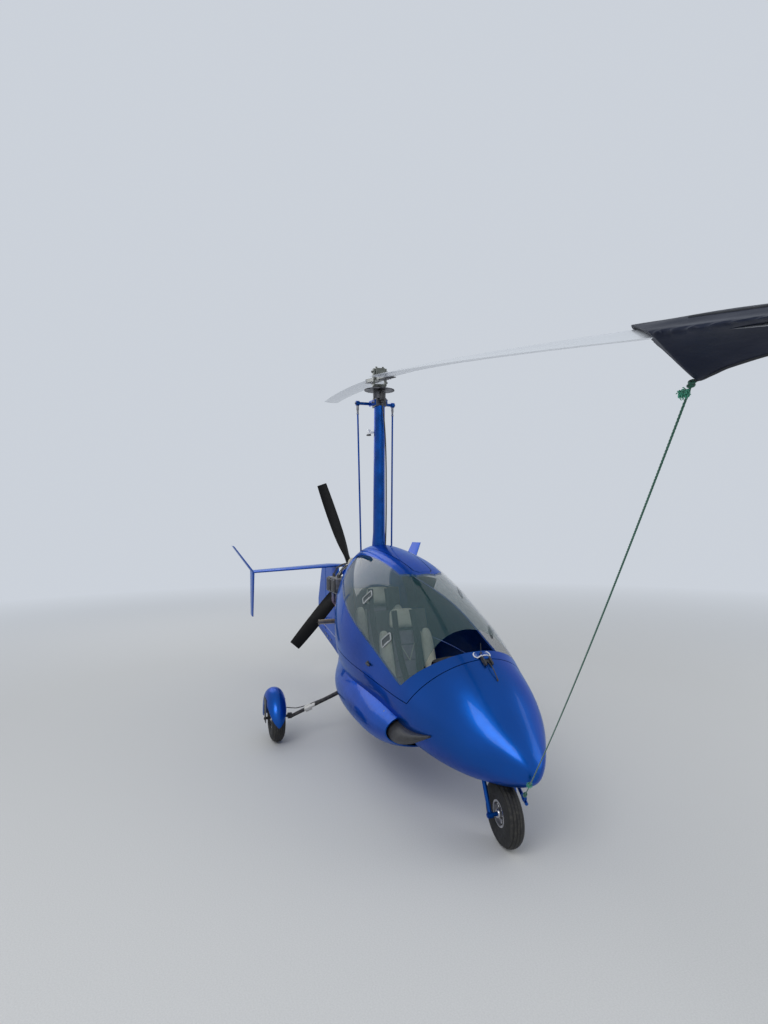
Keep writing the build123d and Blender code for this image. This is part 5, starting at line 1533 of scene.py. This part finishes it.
class GYRO_OT_body(bpy.types.Operator):
    """Sliding vents, latches, badge plate, seam fittings, black intake lips painted as the intakes' shadowed
    insides, screws and stickers
    """

    bl_idname = "gyro.body"
    bl_label = "Body fittings"

    def execute(self, context):
        dark = moulded("fitting_black", (0.022, 0.022, 0.024), 0.45)
        white = enamel("badge_white", (0.82, 0.83, 0.85), 0.3)
        self.vents()
        for sign, side in SIDES:
            self.latch(sign, side, dark)
            self.shaded_intake(sign, side, dark)
            self.screws(sign, side)
        place, out = spot_on("canopy_frame", (1.653, 0, 1.4), (0, 0, -1))
        laid = ("canopy_frame", place, out)
        badge = wrapped("nose_badge", *laid, (0.062, 0.1), 0.03, 0.0016, 0, 8)
        ring = wrapped("badge_ring", *laid, (0.066, 0.104), 0.0325, 0.0045, 0, 8, hole=0.005)
        settle(badge, "canopy", enamel("badge_blue", (0.05, 0.12, 0.42), 0.3), 40)
        settle(ring, "canopy", white, 40)
        self.seam_fittings(dark)
        self.stickers(white)
        return {"FINISHED"}

    def vents(self):
        """Two sliding vents in each window, each a rim, a finger grip and a pane."""
        pale = enamel("vent_rim", (0.4, 0.42, 0.43), 0.35, 0.3)
        smoke = enamel("vent_pane", (0.03, 0.045, 0.05), 0.15)
        node = "canopy_glass"
        for sign, side in SIDES:
            rims, panes = [], []
            turn = sign * 0.35
            for x, z in ((0.70, 1.141), (1.11, 0.925)):
                place, out = spot_on(node, (x, sign * 1.2, z), (0, -sign, 0))
                rims.append(wrapped("vent", node, place, out, (0.06, 0.098), 0.012, 0.006, turn, hole=0.007))
                grip_at = place + Vector((0.012, 0, -0.02))
                rims.append(wrapped("grip", node, grip_at, out, (0.012, 0.05), 0.005, 0.009, turn, 2))
                panes.append(wrapped("pane", node, place, out, (0.05, 0.088), 0.008, 0.0025, turn, 3))
            settle(joined("vent_frames_" + side, rims), "canopy", pale, 30)
            settle(joined("vent_panes_" + side, panes), "canopy", smoke, 30)

    def latch(self, sign, side, dark):
        place, out = spot_on("canopy_frame", (0.925, sign * 1.2, 0.751), (0, -sign, 0))
        seat = turned_shape("seat", LATCH_SEAT, 24)
        seat.matrix_world = turned_to(place, out)
        lever = plate("lever", (0.014, 0.06, 0.007), 0.0028, 3)
        lever.matrix_world = turned_to(place + out * 0.01, out, 0.5 * sign) @ Matrix.Translation((0, 0.018, 0))
        settle(joined("canopy_latch_" + side, [seat, lever]), "canopy", dark)

    def shaded_intake(self, sign, side, dark):
        """Black chin under the side intake, run out to a point along the hull; its black is painted shade for
        the shadowed inside of the intake's mouth.
        """
        rings = [
            ((x, sign * y, z), (0, pi / 2, 0), height, width) for x, y, z, width, height in INTAKE_SHADE_WEDGE
        ]
        settle(lofted("intake_lip_" + side, rings, 32), "airframe", dark, 50)

    def screws(self, sign, side):
        lines = [((x, sign * 1.2, z), (0, -sign, 0)) for x, z in POD_SCREWS]
        spots = [turned_to(place - out * 0.0006, out) for place, out in hits(NODES["sponson_" + side], lines)]
        steel = brushed("screw_steel_" + side, (0.5, 0.5, 0.52), 0.3, (0.01, 0.01, 0.01))
        screw = turned_shape("screw", SCREW, 16)
        settle(copies(screw, "pod_screws_" + side, spots), "airframe", steel)

    def seam_fittings(self, dark):
        """The hooked fitting on the nose seam and the post behind it."""
        cover = plate("cover", (0.024, 0.056, 0.008), 0.003, 3)
        cover.matrix_world = Matrix.Translation((1.702, 0, 0.893)) @ Matrix.Rotation(radians(34), 4, "Y")
        hook = [(1.706, 0.0, 0.893), (1.745, 0.0, 0.885), (1.785, 0.002, 0.85), (1.81, 0.003, 0.818)]
        arm = tube("arm", hook, 0.0028, 8, 8)
        tip = turned_shape("tip", HOOK_TIP, 14)
        tip.matrix_world = turned_to((1.806, 0.003, 0.824), (0.4, 0, -1))
        settle(joined("nose_seam_fitting", [cover, arm, tip]), "airframe", dark)
        rod = tube("yaw_post", [(1.64, 0.0, 0.915), (1.639, 0, 0.945), (1.638, 0, 0.975)], 0.0018, 8, 4)
        foot = turned_shape("foot", POST_FOOT, 16)
        foot.matrix_world = turned_to(*spot_on("canopy_frame", (1.64, 0, 1.4), (0, 0, -1)))
        settle(joined("yaw_post", [rod, foot]), "canopy", dark)

    def stickers(self, white):
        red = enamel("sticker_red", (0.55, 0.03, 0.04), 0.35)
        place, out = spot_on("hull", (0.30, 0.10, 1.8), (0, 0, -1))
        tab = wrapped("roof_sticker_white", "hull", place, out, (0.07, 0.05), 0.006, 0.0006)
        bar = wrapped("roof_sticker_red", "hull", place, out, (0.066, 0.018), 0.004, 0.0011)
        settle(tab, "airframe", white, 40)
        settle(bar, "airframe", red, 40)
        ovals = []
        for sign in SIGNS:
            place, out = spot_on("hull", (-0.175, sign * 1.2, 0.98), (0, -sign, 0))
            ovals.append(wrapped("oval", "hull", place, out, (0.05, 0.075), 0.0245, 0.0006))
        settle(joined("rear_ovals", ovals), "airframe", white, 40)


# Engine


CYLINDERS_X = (-0.412, -0.574)
STAGGER = 0.009
THRUST_Z = 1.21
PLEATS = [(0.036 + 0.004 * (index % 2), 0.006 + index * 0.006) for index in range(13)]
FILTER = [(0.001, 0), *PLEATS, (0.03, 0.088), (0.001, 0.09)]
PLUG_BOOT = [(0.001, 0), (0.009, 0), (0.01, 0.01), (0.007, 0.03), (0.001, 0.032)]
COOLANT_HOSE = (
    (-0.3, 0.13, 0.81), (-0.3, 0.13, 0.88), (-0.33, 0.2, 0.97), (-0.39, 0.25, 1.02), (-0.40, 0.25, 1.056),
)
CARBURETTOR = [
    (0.001, 0), (0.022, 0), (0.026, 0.008), (0.026, 0.03), (0.034, 0.034),
    (0.034, 0.052), (0.02, 0.056), (0.018, 0.075), (0.001, 0.076),
]


class GYRO_OT_engine(bpy.types.Operator):
    """Rocker covers, filters, leads, hoses and bolts of the engine bay"""

    bl_idname = "gyro.engine"
    bl_label = "Engine fittings"

    def execute(self, context):
        dark = moulded("engine_black", (0.03, 0.03, 0.032), 0.5)
        rubber = moulded("hose_rubber", (0.02, 0.02, 0.021), 0.7, 300.0)
        steel = brushed("engine_steel", (0.45, 0.45, 0.46), 0.34, (0.02, 0.02, 0.02))
        covers, spots = [], []
        for sign in SIGNS:
            for x in CYLINDERS_X:
                place = x + sign * STAGGER
                rocker = plate("rocker", (0.115, 0.118, 0.014), 0.006, 3)
                stepped(rocker, broad(looks_up, 0.004), (0.016, 0.006), (0.02, -0.002))
                rocker.matrix_world = turned_to((place, sign * 0.2975, 1.12), (0, sign, 0))
                covers.append(rocker)
                for dx in (-0.048, 0.048):
                    for dz in (-0.05, 0.05):
                        spots.append(((place + dx, sign * 0.3035, 1.12 + dz), (0, sign, 0)))
        settle(joined("rocker_covers", covers), "airframe", dark)
        bolts("rocker_bolts", "airframe", steel, spots, 0.005, 0.004)
        self.intakes(steel)
        self.leads(dark)
        self.hoses(rubber)
        case = [
            ((x, sign * 0.0915, z), (0, sign, 0))
            for x in (-0.36, -0.45, -0.54, -0.63)
            for z in (1.215, 1.025)
            for sign in SIGNS
        ]
        bolts("crankcase_bolts", "airframe", steel, case, 0.006, 0.006)
        angles = [pi * index / 8 for index in range(9)]
        gear = [((-0.7995, 0.062 * cos(a), THRUST_Z + 0.062 * sin(a)), (-1, 0, 0)) for a in angles]
        bolts("gearbox_bolts", "airframe", steel, gear, 0.0052, 0.005)
        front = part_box("radiator")[0][0]
        places = [Matrix.Translation((front - 0.0005, 0, 0.605 + index * 0.0085)) for index in range(21)]
        fins = copies(plate("fin", (0.003, 0.32, 0.0016), 0.0004, 1), "radiator_fins", places)
        settle(fins, "airframe", steel, 20)
        return {"FINISHED"}

    def intakes(self, steel):
        filters, bowls = [], []
        for sign in SIGNS:
            body = turned_shape("filter", FILTER, 28)
            body.matrix_world = turned_to((-0.345, sign * 0.145, 1.305), (0.9, sign * 0.25, 0.25))
            filters.append(body)
            bowl = turned_shape("bowl", CARBURETTOR, 24)
            bowl.matrix_world = Matrix.Translation((-0.39, sign * 0.135, 1.252))
            path = ((-0.39, 0.135, 1.29), (-0.45, 0.15, 1.29), (-0.5, 0.19, 1.25), (-0.5, 0.235, 1.19))
            bowls += [bowl, tube("trunk", [(x, sign * y, z) for x, y, z in path], 0.018, 14, 8)]
        cream = enamel("filter_cream", (0.62, 0.58, 0.47), 0.7)
        settle(joined("air_filters", filters), "airframe", cream, 25)
        settle(joined("carburettors", bowls), "airframe", steel)

    def leads(self, dark):
        box = plate("ignition_box", (0.12, 0.09, 0.05), 0.006, 3)
        box.matrix_world = Matrix.Translation((-0.52, 0, 1.262))
        made = [box]
        for sign in SIGNS:
            for x in CYLINDERS_X:
                for shift in (-0.02, 0.02):
                    plug = x + sign * STAGGER + shift
                    path = [
                        (-0.52 + shift, sign * 0.04, 1.27),
                        (-0.52 + shift * 2, sign * 0.1, 1.31),
                        (plug, sign * 0.2, 1.285),
                        (plug, sign * 0.25, 1.215),
                        (plug, sign * 0.25, 1.182),
                    ]
                    boot = turned_shape("boot", PLUG_BOOT, 14)
                    boot.matrix_world = Matrix.Translation((plug, sign * 0.25, 1.184))
                    made += [tube("lead", path, 0.004, 8, 8), boot]
        settle(joined("ignition_leads", made), "airframe", dark)

    def hoses(self, rubber):
        made = []
        for sign in SIGNS:
            made.append(tube("coolant", [(x, sign * y, z) for x, y, z in COOLANT_HOSE], 0.014, 14, 10))
            clamp_ring = turned_shape("clamp", [(0.0135, 0), (0.016, 0), (0.016, 0.01), (0.0135, 0.01)], 20)
            clamp_ring.matrix_world = Matrix.Translation((-0.3, sign * 0.13, 0.82))
            made.append(clamp_ring)
        oil = [(-0.34, 0.04, 1.0), (-0.3, 0.05, 0.95), (-0.29, 0.05, 0.86), (-0.29, 0.05, 0.8)]
        made.append(tube("oil_line", oil, 0.008, 10, 8))
        settle(joined("engine_hoses", made), "airframe", rubber)


HUB_PLATE = [
    (0.012, 0), (0.056, 0), (0.058, 0.002), (0.056, 0.005), (0.034, 0.006), (0.03, 0.010), (0.012, 0.010),
]


class GYRO_OT_propeller(bpy.types.Operator):
    """Hub plate and blade root bands"""

    bl_idname = "gyro.propeller"
    bl_label = "Propeller fittings"

    def execute(self, context):
        steel = brushed("prop_bolt_steel", (0.5, 0.5, 0.52), 0.3, (0.02, 0.02, 0.02))
        disc = turned_shape("hub_plate", HUB_PLATE, 48)
        disc.matrix_world = turned_to((-0.8925, 0, THRUST_Z), (-1, 0, 0))
        settle(disc, "propeller", steel)
        bands = []
        for index in range(3):
            angle = radians(-19.1 + 120 * index)
            out = Vector((0, -sin(angle), cos(angle)))
            band = turned_shape("band", [(0.034, 0), (0.0365, 0.001), (0.0365, 0.011), (0.034, 0.012)], 32)
            band.matrix_world = turned_to(Vector((-0.85, 0, THRUST_Z)) + out * 0.078, out)
            bands.append(band)
        settle(joined("blade_root_bands", bands), "propeller", steel)
        return {"FINISHED"}


# Tail


class GYRO_OT_tail(bpy.types.Operator):
    """Rudder horn, cables, hinge bolts, keel bolts and keel end cap"""

    bl_idname = "gyro.tail"
    bl_label = "Tail fittings"

    def execute(self, context):
        steel = brushed("tail_steel", (0.45, 0.45, 0.46), 0.34, (0.02, 0.02, 0.02))
        dark = moulded("tail_black", (0.022, 0.022, 0.024), 0.5)
        cap = plate("keel_cap", (0.008, 0.054, 0.07), 0.004, 3)
        stepped(cap, broad(looks_back, 0.001), (0.01, 0.0015))
        cap.matrix_world = Matrix.Translation((-2.2965, 0, 0.5275)) @ Matrix.Rotation(radians(9.2), 4, "Y")
        settle(cap, "airframe", dark)
        rising = [(x, 0.362 + (-1.51 - x) * 0.162 + 0.05) for x in (-1.62, -1.74, -1.83)]
        places = rising + [(x, 0.315) for x in (-0.32, -0.42)]
        lines = [((x, sign * 0.4, z), (0, -sign, 0)) for x, z in places for sign in SIGNS]
        bolts("keel_bolts", "airframe", steel, hits(NODES["keel"], lines), 0.008, 0.006)
        lugs = [((-1.88, 0, 1.2052), (0, 0, 1)), ((-1.88, 0, 0.5268), (0, 0, -1))]
        bolts("rudder_hinge_bolts", "airframe", steel, lugs, 0.008, 0.006)
        horn = plate("rudder_horn", (0.03, 0.17, 0.005), 0.002, 2)
        horn.matrix_world = Matrix.Translation((-1.905, 0, 0.62))
        settle(horn, "rudder", dark)
        path = ((-0.262, 0.09, 0.45), (-1.0, 0.087, 0.5), (-1.87, 0.0805, 0.6085))
        cables = [tube("cable", [(x, sign * y, z) for x, y, z in path], 0.002, 8, 2) for sign in SIGNS]
        settle(joined("rudder_cables", cables), "airframe", steel)
        return {"FINISHED"}


# Settings, panel and run


def colour(name, text, value):
    return FloatVectorProperty(
        name=name, description=text, subtype="COLOR", size=3, min=0, max=1, default=value
    )


class GyroColours(bpy.types.PropertyGroup):
    blue: colour("Body blue", "Base colour of the painted body", (0.002, 0.07, 0.35))
    glass: colour("Glass tint", "Colour of the tinted canopy", (0.045, 0.11, 0.115))
    seat_centre: colour("Seat centre", "Cloth of the seats' middle panels", (0.26, 0.24, 0.31))
    seat_bolster: colour("Seat bolsters", "Cloth of the seats' side rolls", (0.78, 0.8, 0.66))
    cover: colour("Tip cover", "Coated cloth of the rotor cover", (0.004, 0.007, 0.019))
    rope: colour("Line", "Cord from the cover to the tow eye", (0.012, 0.11, 0.07))
    glass_cover: FloatProperty(
        name="Glass density", description="Share of light the glass holds back",
        min=0, max=1, subtype="FACTOR", default=0.3,
    )


class GyroSizes(bpy.types.PropertyGroup):
    rope: FloatProperty(
        name="Line diameter", description="Thickness of the rotor line", unit="LENGTH", default=0.006
    )
    floor: FloatProperty(name="Floor", description="Side of the studio floor", unit="LENGTH", default=90.0)
    lens: FloatProperty(name="Lens", description="Focal length in millimetres", default=20.55)


STEPS = (
    GYRO_OT_finishes,
    GYRO_OT_seats,
    GYRO_OT_cabin,
    GYRO_OT_cover,
    GYRO_OT_line,
    GYRO_OT_rotor,
    GYRO_OT_wheels,
    GYRO_OT_body,
    GYRO_OT_engine,
    GYRO_OT_propeller,
    GYRO_OT_tail,
    GYRO_OT_stage,
)


class VIEW3D_PT_gyro(bpy.types.Panel):
    """Settings and steps of the gyroplane"""

    bl_idname = "VIEW3D_PT_gyro"
    bl_label = "Gyroplane"
    bl_space_type = "VIEW_3D"
    bl_region_type = "UI"
    bl_category = "Gyroplane"

    def draw(self, context):
        for group in (context.scene.gyro_colours, context.scene.gyro_sizes):
            for name in group.__annotations__:
                self.layout.prop(group, name)
        for step in STEPS:
            self.layout.operator(step.bl_idname)


CLASSES = (GyroColours, GyroSizes, *STEPS, VIEW3D_PT_gyro)


def register():
    for kind in CLASSES:
        bpy.utils.register_class(kind)
    bpy.types.Scene.gyro_colours = PointerProperty(type=GyroColours)
    bpy.types.Scene.gyro_sizes = PointerProperty(type=GyroSizes)


def unregister():
    del bpy.types.Scene.gyro_sizes
    del bpy.types.Scene.gyro_colours
    for kind in reversed(CLASSES):
        bpy.utils.unregister_class(kind)


def main():
    register()
    for step in STEPS:
        getattr(bpy.ops.gyro, step.bl_idname.split(".")[1])()


if __name__ == "__main__":
    main()
